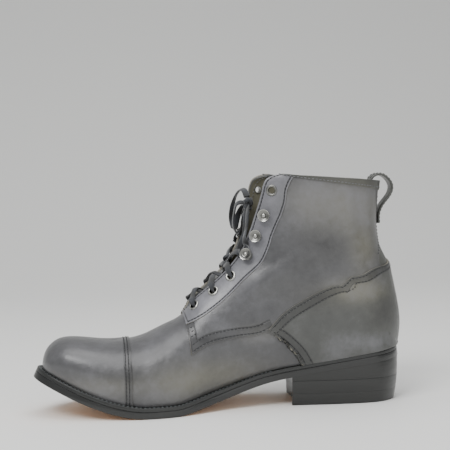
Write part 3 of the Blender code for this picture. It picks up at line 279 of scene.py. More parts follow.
class Curve:
    """Smooth curve through given values that bends nowhere sharply."""

    def __init__(self, keys: Sequence[float], values: Sequence[float], flat_start: bool = False) -> None:
        """Fit the curve.

        Args:
            keys: Rising keys.
            values: A value for each key.
            flat_start: Whether the curve leaves its first value level.
        """
        self.keys = np.array(keys, dtype=float)
        self.values = np.array(values, dtype=float)
        self.steps = np.diff(self.keys)
        slopes = np.diff(self.values) / self.steps
        count = len(self.keys)
        system = np.zeros((count, count))
        right = np.zeros(count)
        system[0, 0] = system[-1, -1] = 1.0
        if flat_start:
            system[0, 0], system[0, 1] = 2.0 * self.steps[0], self.steps[0]
            right[0] = 6.0 * slopes[0]
        for k in range(1, count - 1):
            system[k, k - 1:k + 2] = (self.steps[k - 1], 2.0 * (self.steps[k - 1] + self.steps[k]),
                                      self.steps[k])
            right[k] = 6.0 * (slopes[k] - slopes[k - 1])
        self.bends = np.linalg.solve(system, right)

    def __call__(self, key: float) -> float:
        """Value of the curve at a key.

        Args:
            key: The key.

        Returns:
            The value.
        """
        k = min(max(int(np.searchsorted(self.keys, key)) - 1, 0), len(self.keys) - 2)
        low = (self.keys[k + 1] - key) / self.steps[k]
        high = 1.0 - low
        sag = ((low ** 3 - low) * self.bends[k] + (high ** 3 - high) * self.bends[k + 1]) / 6.0
        return float(low * self.values[k] + high * self.values[k + 1] + sag * self.steps[k] ** 2)


class Section(NamedTuple):
    """A fan section worked out at one row."""

    foot: Vector
    front: Vector
    centre: float
    lean: float
    foot_half: float
    belt_half: float
    gap: float
    belt: float
    full: float
    turn: float


class BootForm:
    """Shape of the sole and the upper, the same functions that the solids come from."""

    def __init__(self, sizes: Sizes) -> None:
        """Fit every curve of the form.

        Args:
            sizes: The named sizes.
        """
        self.sizes = sizes
        self.sides = {s: Curve([self.roundness(p.along) for p in PLAN], [getattr(p, n) for p in PLAN])
                      for s, n in ((1, "medial"), (-1, "lateral"))}
        self.overhang = Curve([p.key for p in OVERHANG], [p.value for p in OVERHANG])
        self.arch = Curve([p.key for p in ARCH], [p.value for p in ARCH], flat_start=True)
        self.spring = Curve([p.key for p in SPRING], [p.value for p in SPRING], flat_start=True)
        self.fan = {n: Curve(range(len(FAN)), [getattr(f, n) for f in FAN]) for n in Fan._fields}
        self.strap = Curve([p.key for p in BACK_STRAP], [p.value for p in BACK_STRAP])
        self.cache: dict = {}
        self.quarter_foot = self.seam_by_row(QUARTER_FOOT)
        self.counter_top = self.seam_by_row(COUNTER_TOP)
        self.counter_front = self.seam_by_v(COUNTER_FRONT)
        self.eyestay_back = self.seam_by_row(EYESTAY_BACK)
        self.junction_row, self.junction_v = self.locate(COUNTER_FRONT[-1])

    @staticmethod
    def roundness(share: float) -> float:
        """Station of a share of the length that keeps both ends of the outline round."""
        return math.acos(1.0 - 2.0 * min(max(share, 0.0), 1.0)) / math.pi

    def along(self, share: float) -> float:
        """Place on X of a share of the sole's length."""
        return share * self.sizes.sole_length - self.sizes.heel_set_back

    def share_of(self, x: float) -> float:
        """Share of the sole's length at a place on X."""
        return (x + self.sizes.heel_set_back) / self.sizes.sole_length

    def tread(self, x: float) -> float:
        """Height of the sole's underside above the floor.

        Args:
            x: Place along, in metres.

        Returns:
            The height in metres.
        """
        share, s = self.share_of(x), self.sizes
        if share < s.tread_back:
            return s.heel_rise * self.arch((s.tread_back - share) / s.tread_back)
        if share > s.tread_front:
            return s.toe_spring * self.spring((share - s.tread_front) / (1.0 - s.tread_front))
        return 0.0

    def bend(self, x: float, y: float, height: float) -> Vector:
        """Carry a point of the flat sole to its place on the arched and sprung sole.

        Args:
            x: Place along, in metres.
            y: Place across, in metres.
            height: Height above the underside.

        Returns:
            The carried point.
        """
        step = 0.5 * MM
        angle = math.atan((self.tread(x + step) - self.tread(x - step)) / (2.0 * step))
        return Vector((x - height * math.sin(angle), y, self.tread(x) + height * math.cos(angle)))

    def outline(self, side: int, extra: float, share: float) -> tuple[np.ndarray, np.ndarray]:
        """One side of the sole's outline moved inward.

        Args:
            side: Sign of the side.
            extra: Inset in metres.
            share: Share of the welt's overhang that is added to the inset.

        Returns:
            Places along and across.
        """
        key = ("outline", side, extra, share)
        if key not in self.cache:
            fine = np.linspace(0.0, 1.0, 601)
            xs = np.array([self.along((1.0 - math.cos(math.pi * s)) / 2.0) for s in fine])
            ys = np.array([self.sides[side](s) * self.sizes.ball_width for s in fine])
            dx, dy = np.gradient(xs), np.gradient(ys)
            size = np.hypot(dx, dy)
            over = share * self.sizes.overhang
            insets = np.array([extra + over * self.overhang(self.share_of(x)) for x in xs])
            inner_x, inner_y = xs + insets * side * dy / size, ys - insets * side * dx / size
            inner_x[0], inner_x[-1] = xs[0] + insets[0], xs[-1] - insets[-1]
            inner_y[0], inner_y[-1] = ys[0], ys[-1]
            self.cache[key] = (np.maximum.accumulate(inner_x), inner_y)
        return self.cache[key]

    def edge_y(self, x: float, side: int, extra: float = 0.0, share: float = 0.0) -> float:
        """Across place of the inset outline at x on one side."""
        xs, ys = self.outline(side, extra, share)
        return float(np.interp(x, xs, ys))

    def ends(self, extra: float = 0.0, share: float = 0.0) -> tuple[float, float]:
        """First and last place along of an inset outline."""
        xs, _ = self.outline(1, extra, share)
        return float(xs[0]), float(xs[-1])

    def above_sole(self, x: float, height: float) -> Vector:
        """Point on the middle plane at a height above the sole's top."""
        return Vector((x, 0.0, self.tread(x) + self.sizes.seat + height))

    def section(self, row: float) -> Section:
        """Fan section at a row, which may lie between two of the table.

        Args:
            row: Fan row.

        Returns:
            The section.
        """
        key = ("section", row)
        if key not in self.cache:
            fan, s = self.fan, self.sizes
            foot_x = self.along(fan["foot"](row))
            rise = max(0.0, fan["rise"](row)) * s.upper_height if row > HEEL_ROW else 0.0
            medial, lateral = self.edge_y(foot_x, 1, 0.0, 1.0), self.edge_y(foot_x, -1, 0.0, 1.0)
            foot_half = (medial - lateral) / 2.0 if row < HEEL_ROW else 0.0
            foot = self.bend(foot_x, 0.0, s.seat) + Vector((0.0, 0.0, rise))
            front = self.above_sole(self.along(fan["front"](row)), fan["height"](row) * s.upper_height)
            gap = max(0.0, fan["gap"](row)) * s.throat_half if row > THROAT_ROW else 0.0
            belt_half = max(fan["girth"](row) * s.ball_width, foot_half * 1.01 + s.gap)
            self.cache[key] = Section(foot, front, (medial + lateral) / 2.0, fan["lean"](row) * s.ball_width,
                                      foot_half, belt_half, gap, fan["belt"](row), fan["full"](row),
                                      fan["turn"](row))
        return self.cache[key]

    @staticmethod
    def crown(angle: float, full: float) -> float:
        """Half-width of the upper part of a section, in shares of its widest."""
        return math.cos(angle) * (1.0 + full * math.sin(angle) ** 2)

    def arcs(self, row: float) -> tuple[float, float]:
        """Where the lower arc of a section starts and its upper arc ends, as angles.

        Args:
            row: Fan row.

        Returns:
            The start and end angles.
        """
        key = ("arcs", row)
        if key not in self.cache:
            cut = self.section(row)
            start = math.asin(min(cut.foot_half / cut.belt_half, 0.999))
            low, high = 0.3, math.pi / 2.0
            for _ in range(40):
                middle = (low + high) / 2.0
                if self.crown(middle, cut.full) * cut.belt_half > cut.gap:
                    low = middle
                else:
                    high = middle
            self.cache[key] = (start, (low + high) / 2.0)
        return self.cache[key]

    def profile(self, row: float, v: float) -> tuple[float, float]:
        """Way along a section and half-width there.

        Args:
            row: Fan row.
            v: Place up the section, from 0 at the foot to 1 at the ridge or throat.

        Returns:
            The way and the half-width.
        """
        cut = self.section(row)
        start, end = self.arcs(row)
        if v < BELT_V:
            angle = start + (math.pi / 2.0 - start) * v / BELT_V
            return (cut.belt * (math.cos(start) - math.cos(angle)) / math.cos(start),
                    cut.belt_half * math.sin(angle))
        angle = end * (v - BELT_V) / (1.0 - BELT_V)
        return (cut.belt + (1.0 - cut.belt) * math.sin(angle) / math.sin(end),
                cut.belt_half * self.crown(angle, cut.full))

    def v_of(self, row: float, way: float) -> float:
        """The v whose point lies a given way along a section.

        Args:
            row: Fan row.
            way: Share of the way from the section's foot to its front.

        Returns:
            The v.
        """
        cut = self.section(row)
        start, end = self.arcs(row)
        if way < cut.belt:
            cosine = math.cos(start) * (1.0 - max(way, 0.0) / cut.belt)
            return BELT_V * (math.acos(max(-1.0, min(1.0, cosine))) - start) / (math.pi / 2.0 - start)
        sine = math.sin(end) * (min(way, 1.0) - cut.belt) / (1.0 - cut.belt)
        return BELT_V + (1.0 - BELT_V) * math.asin(max(-1.0, min(1.0, sine))) / end

    def smooth_point(self, row: float, v: float, side: int) -> Vector:
        """Point of the upper's surface before its soft folds.

        Args:
            row: Fan row.
            v: Place up the section, from 0 at the foot to 1 at the ridge or throat.
            side: Sign of the side.

        Returns:
            The point.
        """
        if row <= 0.0:
            tip = self.ends(0.0, 1.0)[1]
            return self.bend(tip, self.edge_y(tip, 1, 0.0, 1.0), self.sizes.seat)
        cut = self.section(row)
        way, half = self.profile(row, v)
        spot = cut.foot.lerp(cut.front, way)
        y = cut.centre + (cut.lean - cut.centre) * way + side * half
        return Vector((spot.x - cut.turn * y, y, spot.z))

    def normal(self, row: float, v: float, side: int) -> Vector:
        """Direction out of the upper.

        Args:
            row: Fan row.
            v: Place up the section, from 0 at the foot to 1 at the ridge or throat.
            side: Sign of the side.

        Returns:
            The unit direction.
        """
        step_row, step_v = 0.03, 0.008
        first, last = max(row - step_row, 0.02), min(row + step_row, COLLAR_ROW)
        below, over = max(v - step_v, 0.0), min(v + step_v, 1.0)
        across = self.smooth_point(last, v, side) - self.smooth_point(first, v, side)
        up = self.smooth_point(row, over, side) - self.smooth_point(row, below, side)
        out = across.cross(up) * side
        return out.normalized() if out.length > 1e-12 else Vector((1.0, 0.0, 0.0))

    @staticmethod
    def relief(spot: Vector, side: int) -> float:
        """How far the soft folds move the surface out at a point.

        Args:
            spot: Point in metres.
            side: Sign of the side.

        Returns:
            Metres outward, below 0 in a trough.
        """
        total = 0.0
        x, z = spot.x / MM, spot.z / MM
        for fold in SOFT:
            if fold.side not in (0, side):
                continue
            dx, dz = fold.x1 - fold.x0, fold.z1 - fold.z0
            long_way = ((x - fold.x0) * dx + (z - fold.z0) * dz) / (dx * dx + dz * dz)
            off = abs((x - fold.x0) * dz - (z - fold.z0) * dx) / math.hypot(dx, dz)
            if off > 3.0 * fold.width or not -0.4 < long_way < 1.4:
                continue
            ends = math.exp(-(max(0.0, abs(long_way - 0.5) - 0.3) / 0.22) ** 2)
            total -= fold.depth * ends * math.exp(-(off / fold.width) ** 2)
        return total * MM

    def lifted(self, row: float, v: float, side: int, out: float = 0.0) -> Vector:
        """Point of the folded surface, a distance out.

        Args:
            row: Fan row.
            v: Place up the section, from 0 at the foot to 1 at the ridge or throat.
            side: Sign of the side.
            out: Distance outward in metres.

        Returns:
            The point.
        """
        spot = self.smooth_point(row, v, side)
        fade = min(1.0, max(0.0, (1.0 - v) / 0.2)) * min(1.0, v / 0.15 if row < HEEL_ROW else 1.0)
        return spot + self.normal(row, v, side) * (self.relief(spot, side) * fade + out)

    def locate(self, seam: Seam) -> tuple[float, float]:
        """Fan row and v of a point that a side view gives.

        Args:
            seam: The point.

        Returns:
            The fan row and the v.
        """
        spot = self.above_sole(self.along(seam.along), seam.height * self.sizes.upper_height)

        def side_of(row: float) -> float:
            """Which side of a section the point lies on.

            Args:
                row: Fan row.

            Returns:
                A number whose sign tells the side.
            """
            cut = self.section(row)
            line, reach = cut.front - cut.foot, spot - cut.foot
            return line.x * reach.z - line.z * reach.x

        rows = [round(0.1 * k, 1) for k in range(1, int(COLLAR_ROW * 10) + 1)]
        row = COLLAR_ROW
        for before, after in zip(rows, rows[1:]):
            first, second = side_of(before), side_of(after)
            if first * second <= 0.0 and first != second:
                row = before + (after - before) * first / (first - second)
                break
        cut = self.section(row)
        line = cut.front - cut.foot
        return row, self.v_of(row, (spot - cut.foot).dot(line) / line.length_squared)

    def seam_by_row(self, seams: Iterable[Seam]) -> Curve:
        """A seam as v against the fan row."""
        found = sorted(self.locate(seam) for seam in seams)
        return Curve([row for row, _ in found], [v for _, v in found])

    def seam_by_v(self, seams: Iterable[Seam]) -> Curve:
        """A seam as fan row against v."""
        found = sorted((v, row) for row, v in (self.locate(seam) for seam in seams))
        return Curve([v for v, _ in found], [row for _, row in found])

    def v_rate(self, row: float, v: float) -> float:
        """Metres of surface for a unit of v."""
        low, high = max(v - 0.01, 0.0), min(v + 0.01, 1.0)
        return (self.smooth_point(row, high, 1) - self.smooth_point(row, low, 1)).length / (high - low)

    def row_rate(self, row: float, v: float) -> float:
        """Metres of surface for a fan row."""
        low, high = max(row - 0.05, 0.05), min(row + 0.05, COLLAR_ROW)
        return (self.smooth_point(high, v, 1) - self.smooth_point(low, v, 1)).length / (high - low)

    def v_from_front(self, row: float, distance: float) -> float:
        """The v a distance down the surface from the front of a section.

        Args:
            row: Fan row.
            distance: Distance down the surface in metres.

        Returns:
            The v.
        """
        v, step, travelled = 1.0, 0.002, 0.0
        spot = self.smooth_point(row, v, 1)
        while travelled < distance and v > BELT_V:
            v -= step
            following = self.smooth_point(row, v, 1)
            travelled += (following - spot).length
            spot = following
        return v

    def v_of_half(self, row: float, half: float) -> float:
        """The v on the rounded back of a section at a distance from the middle."""
        return BELT_V * math.asin(min(1.0, half / self.section(row).belt_half)) / (math.pi / 2.0)

    def front_v(self, row: float) -> float:
        """Highest v of a flap, with its top corner rounded.

        Args:
            row: Fan row.

        Returns:
            The v.
        """
        radius = 11.0 * MM
        left = max(0.0, (COLLAR_ROW - row)) * self.row_rate(29.0, 0.97)
        if left >= radius:
            return 1.0
        cut = radius - math.sqrt(max(0.0, radius ** 2 - (radius - left) ** 2))
        return 1.0 - cut / self.v_rate(row, 0.95)


FORM = BootForm(Sizes())


def linear(code: str, alpha: float = 1.0) -> tuple[float, float, float, float]:
    """Linear colour of an sRGB hex code."""
    parts = [int(code[k:k + 2], 16) / 255.0 for k in (1, 3, 5)]
    return (*[p / 12.92 if p <= 0.04045 else ((p + 0.055) / 1.055) ** 2.4 for p in parts], alpha)


def add_node(tree: bpy.types.NodeTree, kind: str, settings: dict | None = None,
             links: dict | None = None) -> bpy.types.Node:
    """Add a node with its settings and links.

    Args:
        tree: Tree that gets the node.
        kind: Blender's name of the node type, without its ShaderNode prefix.
        settings: Values by attribute name, or by input name or number.
        links: Source sockets by input name or number.

    Returns:
        The node.
    """
    node = tree.nodes.new("ShaderNode" + kind)
    for key, value in (settings or {}).items():
        if isinstance(key, int) or key in node.inputs:
            node.inputs[key].default_value = value
        else:
            setattr(node, key, value)
    for key, source in (links or {}).items():
        tree.links.new(source, node.inputs[key])
    return node


def new_material(name: str) -> tuple[bpy.types.Material, bpy.types.NodeTree, bpy.types.Node]:
    """An empty node material, its tree and its Principled shader.

    Args:
        name: Name of the material.

    Returns:
        The material, its tree and its shader.
    """
    material = bpy.data.materials.new(name)
    material.use_nodes = True
    tree = material.node_tree
    return material, tree, tree.nodes["Principled BSDF"]


@dataclass(frozen=True)
class Leather:
    """Full-grain cowhide, dyed charcoal and burnished by hand, so its tone wanders and it shines softly;
    painted highlights and shade come in through the vertex attribute shade.
    """

    name: str
    tone: str = "#4c4c4e"
    # light and dark are the colours that random tone, painted highlights and painted shade pull toward.
    light: str = "#77777c"
    warm: str = "#67655a"
    dark: str = "#232324"
    roughness: float = 0.36
    grooves: tuple[float, ...] = ()
    band: tuple[float, float] = (0.0, 0.0)
    coat: float = 0.25
    patch_mm: float = 26.0
    grain_mm: float = 1.5

    def material(self) -> bpy.types.Material:
        """Build the node material.

        Returns:
            The material. It reads the attributes edge (mm from a sewn edge), shade (painted highlights and
            shade mixed with tone) and warm.
        """
        material, tree, shader = new_material(self.name)
        place = add_node(tree, "TexCoord").outputs["Object"]
        shade = add_node(tree, "Attribute", {"attribute_name": "shade"}).outputs["Fac"]
        warm = add_node(tree, "Attribute", {"attribute_name": "warm"}).outputs["Fac"]
        edge = add_node(tree, "Attribute", {"attribute_name": "edge"}).outputs["Fac"]
        patch = add_node(tree, "TexNoise", {"Scale": 1.0 / (self.patch_mm * MM), "Detail": 5.0,
                                            "Roughness": 0.62}, {"Vector": place}).outputs["Fac"]
        cloud = add_node(tree, "TexNoise", {"Scale": 1.0 / (5.0 * MM), "Detail": 4.0, "Roughness": 0.6},
                         {"Vector": place}).outputs["Fac"]
        level = add_node(tree, "Math", {"operation": "MULTIPLY_ADD", 1: 1.3, 2: -0.65}, {0: patch})
        # Here the painted highlights and shade of shade join the random tone: above 0 the colour mixes toward
        # light, below 0 toward dark.
        level = add_node(tree, "Math", {"operation": "ADD"}, {0: level.outputs[0], 1: shade})
        fine = add_node(tree, "Math", {"operation": "MULTIPLY_ADD", 1: 0.5, 2: -0.25}, {0: cloud})
        level = add_node(tree, "Math", {"operation": "ADD"}, {0: level.outputs[0], 1: fine.outputs[0]})
        up = add_node(tree, "MapRange", {"From Min": 0.0, "From Max": 1.0}, {"Value": level.outputs[0]})
        down = add_node(tree, "MapRange", {"From Min": 0.0, "From Max": -1.0}, {"Value": level.outputs[0]})
        colour = add_node(tree, "Mix", {"data_type": "RGBA", 6: linear(self.tone), 7: linear(self.warm)},
                          {0: warm})
        colour = add_node(tree, "Mix", {"data_type": "RGBA", 7: linear(self.light)},
                          {0: up.outputs[0], 6: colour.outputs[2]})
        colour = add_node(tree, "Mix", {"data_type": "RGBA", 7: linear(self.dark)},
                          {0: down.outputs[0], 6: colour.outputs[2]})
        groove = self.groove(tree, edge)
        # Painted shade: the colour darkens toward near-black in the sewn grooves, and the band along the edge
        # is darkened the same way.
        groove_shade = add_node(tree, "Math", {"operation": "MULTIPLY", 1: 0.8, "use_clamp": True}, {0: groove})
        colour = add_node(tree, "Mix", {"data_type": "RGBA", 7: linear("#101011")},
                          {0: groove_shade.outputs[0], 6: colour.outputs[2]})
        gloss = add_node(tree, "MapRange", {"From Min": 0.3, "From Max": 0.7, "To Min": self.roughness - 0.07,
                                            "To Max": self.roughness + 0.09}, {"Value": cloud})
        grain = add_node(tree, "TexVoronoi", {"Scale": 1.0 / (self.grain_mm * MM)}, {"Vector": place})
        wrinkle = add_node(tree, "TexNoise", {"Scale": 1.0 / (7.0 * MM), "Detail": 3.0},
                           {"Vector": place}).outputs["Fac"]
        bump = add_node(tree, "Bump", {"Strength": 0.10, "Distance": 0.4 * MM},
                        {"Height": grain.outputs["Distance"]})
        bump = add_node(tree, "Bump", {"Strength": 0.35, "Distance": 1.1 * MM},
                        {"Height": wrinkle, "Normal": bump.outputs[0]})
        bump = add_node(tree, "Bump", {"Strength": 0.8, "Distance": 0.6 * MM, "invert": True},
                        {"Height": groove, "Normal": bump.outputs[0]})
        tree.links.new(colour.outputs[2], shader.inputs["Base Color"])
        tree.links.new(gloss.outputs[0], shader.inputs["Roughness"])
        tree.links.new(bump.outputs[0], shader.inputs["Normal"])
        shader.inputs["Coat Weight"].default_value = self.coat
        shader.inputs["Coat Roughness"].default_value = 0.28
        return material

    def groove(self, tree: bpy.types.NodeTree, edge: bpy.types.NodeSocket) -> bpy.types.NodeSocket:
        """Depth of the sewn grooves, from 0 to about 1, against the distance from the edge; it drives both the
        bump and the painted shade in the grooves.

        Args:
            tree: The material's tree.
            edge: Distance from the sewn edge in millimetres.

        Returns:
            The socket of the depth.
        """
        total = add_node(tree, "Value").outputs[0]
        total.default_value = 0.0
        for place in self.grooves:
            off = add_node(tree, "Math", {"operation": "SUBTRACT", 1: place}, {0: edge})
            off = add_node(tree, "Math", {"operation": "ABSOLUTE"}, {0: off.outputs[0]})
            depth = add_node(tree, "MapRange",
                             {"From Min": 0.0, "From Max": 0.9, "To Min": 1.0, "To Max": 0.0,
                              "interpolation_type": "SMOOTHSTEP"}, {"Value": off.outputs[0]})
            total = add_node(tree, "Math", {"operation": "MAXIMUM"},
                             {0: total, 1: depth.outputs[0]}).outputs[0]
        if self.band[1] > 0.0:
            inside = add_node(tree, "MapRange", {"From Min": self.band[0], "From Max": self.band[1],
                                                 "To Min": 0.55, "To Max": 0.0,
                                                 "interpolation_type": "SMOOTHSTEP"}, {"Value": edge})
            total = add_node(tree, "Math", {"operation": "MAXIMUM"},
                             {0: total, 1: inside.outputs[0]}).outputs[0]
        return total


@dataclass(frozen=True)
class Plain:
    """Finish of one colour with a little mottling, such as a cut edge, a lining or waxed thread."""

    name: str
    colour: str
    other: str
    roughness: float
    metallic: float = 0.0
    coat: float = 0.0
    spot_mm: float = 3.0
    bump: float = 0.1
    bump_mm: float = 0.5
    stretch: tuple[float, float, float] = (1.0, 1.0, 1.0)

    def material(self) -> bpy.types.Material:
        """Build the node material.

        Returns:
            The material.
        """
        material, tree, shader = new_material(self.name)
        place = add_node(tree, "TexCoord").outputs["Object"]
        place = add_node(tree, "Mapping", {"Scale": self.stretch}, {"Vector": place}).outputs[0]
        spots = add_node(tree, "TexNoise", {"Scale": 1.0 / (self.spot_mm * MM), "Detail": 4.0},
                         {"Vector": place}).outputs["Fac"]
        colour = add_node(tree, "Mix", {"data_type": "RGBA", 6: linear(self.colour), 7: linear(self.other)},
                          {0: spots})
        gloss = add_node(tree, "MapRange", {"From Min": 0.3, "From Max": 0.7, "To Min": self.roughness - 0.05,
                                            "To Max": self.roughness + 0.06}, {"Value": spots})
        fine = add_node(tree, "TexNoise", {"Scale": 1.0 / (self.bump_mm * MM), "Detail": 3.0},
                        {"Vector": place}).outputs["Fac"]
        bump = add_node(tree, "Bump", {"Strength": self.bump, "Distance": 0.5 * MM}, {"Height": fine})
        tree.links.new(colour.outputs[2], shader.inputs["Base Color"])
        tree.links.new(gloss.outputs[0], shader.inputs["Roughness"])
        tree.links.new(bump.outputs[0], shader.inputs["Normal"])
        shader.inputs["Metallic"].default_value = self.metallic
        shader.inputs["Coat Weight"].default_value = self.coat
        return material


@dataclass(frozen=True)
class Braid:
    """Flat braided cotton lace, black; its ribs show as fine slanted lines that follow the lace."""

    name: str
    colour: str = "#0b0c0f"
    other: str = "#23262c"
    rib_mm: float = 1.3

    def material(self) -> bpy.types.Material:
        """Build the node material.

        Returns:
            The material. It reads the UV map, whose units are metres along and across.
        """
        material, tree, shader = new_material(self.name)
        place = add_node(tree, "TexCoord").outputs["UV"]
        ribs = add_node(tree, "TexWave", {"Scale": 1.0 / (self.rib_mm * MM) / 20.0, "Distortion": 0.6,
                                          "bands_direction": "DIAGONAL"}, {"Vector": place}).outputs["Fac"]
        fuzz = add_node(tree, "TexNoise", {"Scale": 1.0 / (0.8 * MM)},
                        {"Vector": add_node(tree, "TexCoord").outputs["Object"]}).outputs["Fac"]
        colour = add_node(tree, "Mix", {"data_type": "RGBA", 6: linear(self.colour), 7: linear(self.other)},
                          {0: ribs})
        bump = add_node(tree, "Bump", {"Strength": 0.5, "Distance": 0.3 * MM}, {"Height": ribs})
        bump = add_node(tree, "Bump", {"Strength": 0.3, "Distance": 0.3 * MM},
                        {"Height": fuzz, "Normal": bump.outputs[0]})
        tree.links.new(colour.outputs[2], shader.inputs["Base Color"])
        tree.links.new(bump.outputs[0], shader.inputs["Normal"])
        shader.inputs["Roughness"].default_value = 0.72
        shader.inputs["Sheen Weight"].default_value = 0.3
        shader.inputs["Sheen Roughness"].default_value = 0.5
        return material


VAMP = Leather("burnished_cowhide_vamp")
CAP = Leather("burnished_cowhide_toe_cap", grooves=(2.2, 4.6), band=(5.2, 6.4))
QUARTER = Leather("burnished_cowhide_quarter", grooves=(2.0, 7.2), band=(7.6, 8.8))
COUNTER = Leather("burnished_cowhide_counter", tone="#474846", grooves=(2.0, 7.6), band=(8.0, 9.4))
EYESTAY = Leather("burnished_cowhide_eyestay", tone="#6e6e73", light="#8e8e96", warm="#6d6c68",
                  dark="#46464a", grooves=(2.0,), patch_mm=18.0)
STRAP = Leather("burnished_cowhide_back_strap", tone="#41423e", light="#5f5f58", roughness=0.42)
BINDING = Leather("folded_goat_binding", tone="#303130", light="#55564f", roughness=0.45, patch_mm=12.0)
TONGUE_HIDE = Leather("soft_cowhide_tongue", tone="#3c3d3d", light="#5c5c5c", roughness=0.5, coat=0.0)
RAW_EDGE = Plain("cut_leather_edge", "#6d6a61", "#8f8b80", 0.7)
LINING = Plain("undyed_pigskin_lining", "#585648", "#726f5f", 0.72, spot_mm=6.0, bump=0.2, bump_mm=1.2)
EDGE_INK = Plain("waxed_black_sole_edge", "#0e0f0f", "#1c1d1c", 0.34, coat=0.35, spot_mm=9.0, bump=0.25,
                 bump_mm=1.6, stretch=(0.15, 0.15, 1.0))
HEEL_INK = Plain("waxed_black_heel_lifts", "#101111", "#20211f", 0.36, coat=0.25, spot_mm=8.0, bump=0.3,
                 bump_mm=1.8, stretch=(0.1, 0.1, 1.0))
SOLE_LEATHER = Plain("oak_bark_sole_leather", "#b98a5c", "#c99b6c", 0.5, spot_mm=14.0, bump=0.15)
WELT_INK = Plain("waxed_black_welt", "#121313", "#232524", 0.4, coat=0.2, spot_mm=5.0)
WELT_THREAD = Plain("waxed_linen_welt_thread", "#3e4344", "#5c6162", 0.5, spot_mm=1.0)
DARK_THREAD = Plain("waxed_polyester_thread", "#141517", "#2b2d30", 0.45, spot_mm=1.0)
GREY_THREAD = Plain("waxed_polyester_thread_grey", "#55565a", "#77787c", 0.45, spot_mm=1.0)
NICKEL = Plain("nickel_plated_steel", "#b9b9b4", "#9c9c98", 0.24, metallic=1.0, bump=0.04)
# Darker copy of the nickel, painted shade: the highest eyelet and the dish inside each hook.
SHADED_NICKEL = Plain("antiqued_nickel", "#6d6d6a", "#8f8f8b", 0.34, metallic=1.0, bump=0.06)
LACE = Braid("braided_cotton_lace")


class Workshop:
    """Makes meshes, dresses them and joins them to the boot's body."""

    def __init__(self) -> None:
        """Start with no materials made."""
        self.made: dict[str, bpy.types.Material] = {}

    def material(self, finish: Leather | Plain | Braid) -> bpy.types.Material:
        """The material of a finish, made once.

        Args:
            finish: The finish.

        Returns:
            The material.
        """
        if finish.name not in self.made:
            self.made[finish.name] = finish.material()
        return self.made[finish.name]

    def object(self, name: str, shape: bmesh.types.BMesh,
               finishes: Sequence[Leather | Plain | Braid]) -> bpy.types.Object:
        """Turn a bmesh into a smooth-shaded object.

        Args:
            name: Name of the piece.
            shape: The bmesh, which is freed.
            finishes: Finishes of its material slots.

        Returns:
            The object, at the origin.
        """
        mesh = bpy.data.meshes.new(name)
        shape.to_mesh(mesh)
        shape.free()
        mesh.shade_smooth()
        for finish in finishes:
            mesh.materials.append(self.material(finish))
        item = bpy.data.objects.new(name, mesh)
        bpy.context.scene.collection.objects.link(item)
        return item

    @staticmethod
    def settle(item: bpy.types.Object, angle: float = 42.0) -> bpy.types.Object:
        """Make the modifiers' result the object's own mesh.

        Args:
            item: The object.
            angle: Edges sharper than this, in degrees, stay sharp.

        Returns:
            The same object.
        """
        graph = bpy.context.evaluated_depsgraph_get()
        mesh = bpy.data.meshes.new_from_object(item.evaluated_get(graph), depsgraph=graph)
        mesh.name = item.name
        old = item.data
        item.modifiers.clear()
        item.data = mesh
        bpy.data.meshes.remove(old)
        mesh.shade_smooth()
        mesh.set_sharp_from_angle(angle=math.radians(angle))
        return item

    @staticmethod
    def join(item: bpy.types.Object, slot: str, *nodes: str) -> bpy.types.Object:
        """Let a piece ride on the boot and stand for CAD nodes.

        Args:
            item: The object.
            slot: Not used.
            nodes: CAD nodes that it stands for.

        Returns:
            The same object.
        """
        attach(item, BODY)
        if nodes:
            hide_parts(*nodes)
        LOG.info("piece %s stands for %s", item.name, ", ".join(nodes) or "detail")
        return item


def add_sheet(shape: bmesh.types.BMesh, count_a: int, count_b: int,
              place: Callable[[int, int], Vector], flipped: bool = False) -> list:
    """Add a grid of quads whose vertices are put at place(a, b); it faces a cross b.

    Args:
        shape: The bmesh.
        count_a: Quads along the first direction.
        count_b: Quads along the second direction.
        place: Gives the point for a row and a column.
        flipped: Whether to turn the faces over.

    Returns:
        The new vertices.
    """
    grid = bmesh.ops.create_grid(shape, x_segments=count_a, y_segments=count_b, size=0.5)
    for vertex in grid["verts"]:
        vertex.co = place(round((vertex.co.x + 0.5) * count_a), round((vertex.co.y + 0.5) * count_b))
    if flipped:
        bmesh.ops.reverse_faces(shape, faces=list({f for v in grid["verts"] for f in v.link_faces}))
    return grid["verts"]


def weld(shape: bmesh.types.BMesh, distance: float = 0.00001) -> None:
    """Join vertices that share a place and drop faces without area."""
    bmesh.ops.remove_doubles(shape, verts=shape.verts, dist=distance)
    bmesh.ops.dissolve_degenerate(shape, edges=shape.edges, dist=distance)


def smooth_path(points: Sequence[Vector], count: int) -> list[Vector]:
    """Points read evenly from a smooth curve through the given ones.

    Args:
        points: The given points.
        count: Number of steps.

    Returns:
        The points, one more than steps.
    """
    gaps = [(b - a).length for a, b in zip(points, points[1:])]
    keys = [sum(gaps[:k]) for k in range(len(points))]
    curves = [Curve(keys, [p[axis] for p in points]) for axis in range(3)]
    return [Vector([c(keys[-1] * k / count) for c in curves]) for k in range(count + 1)]


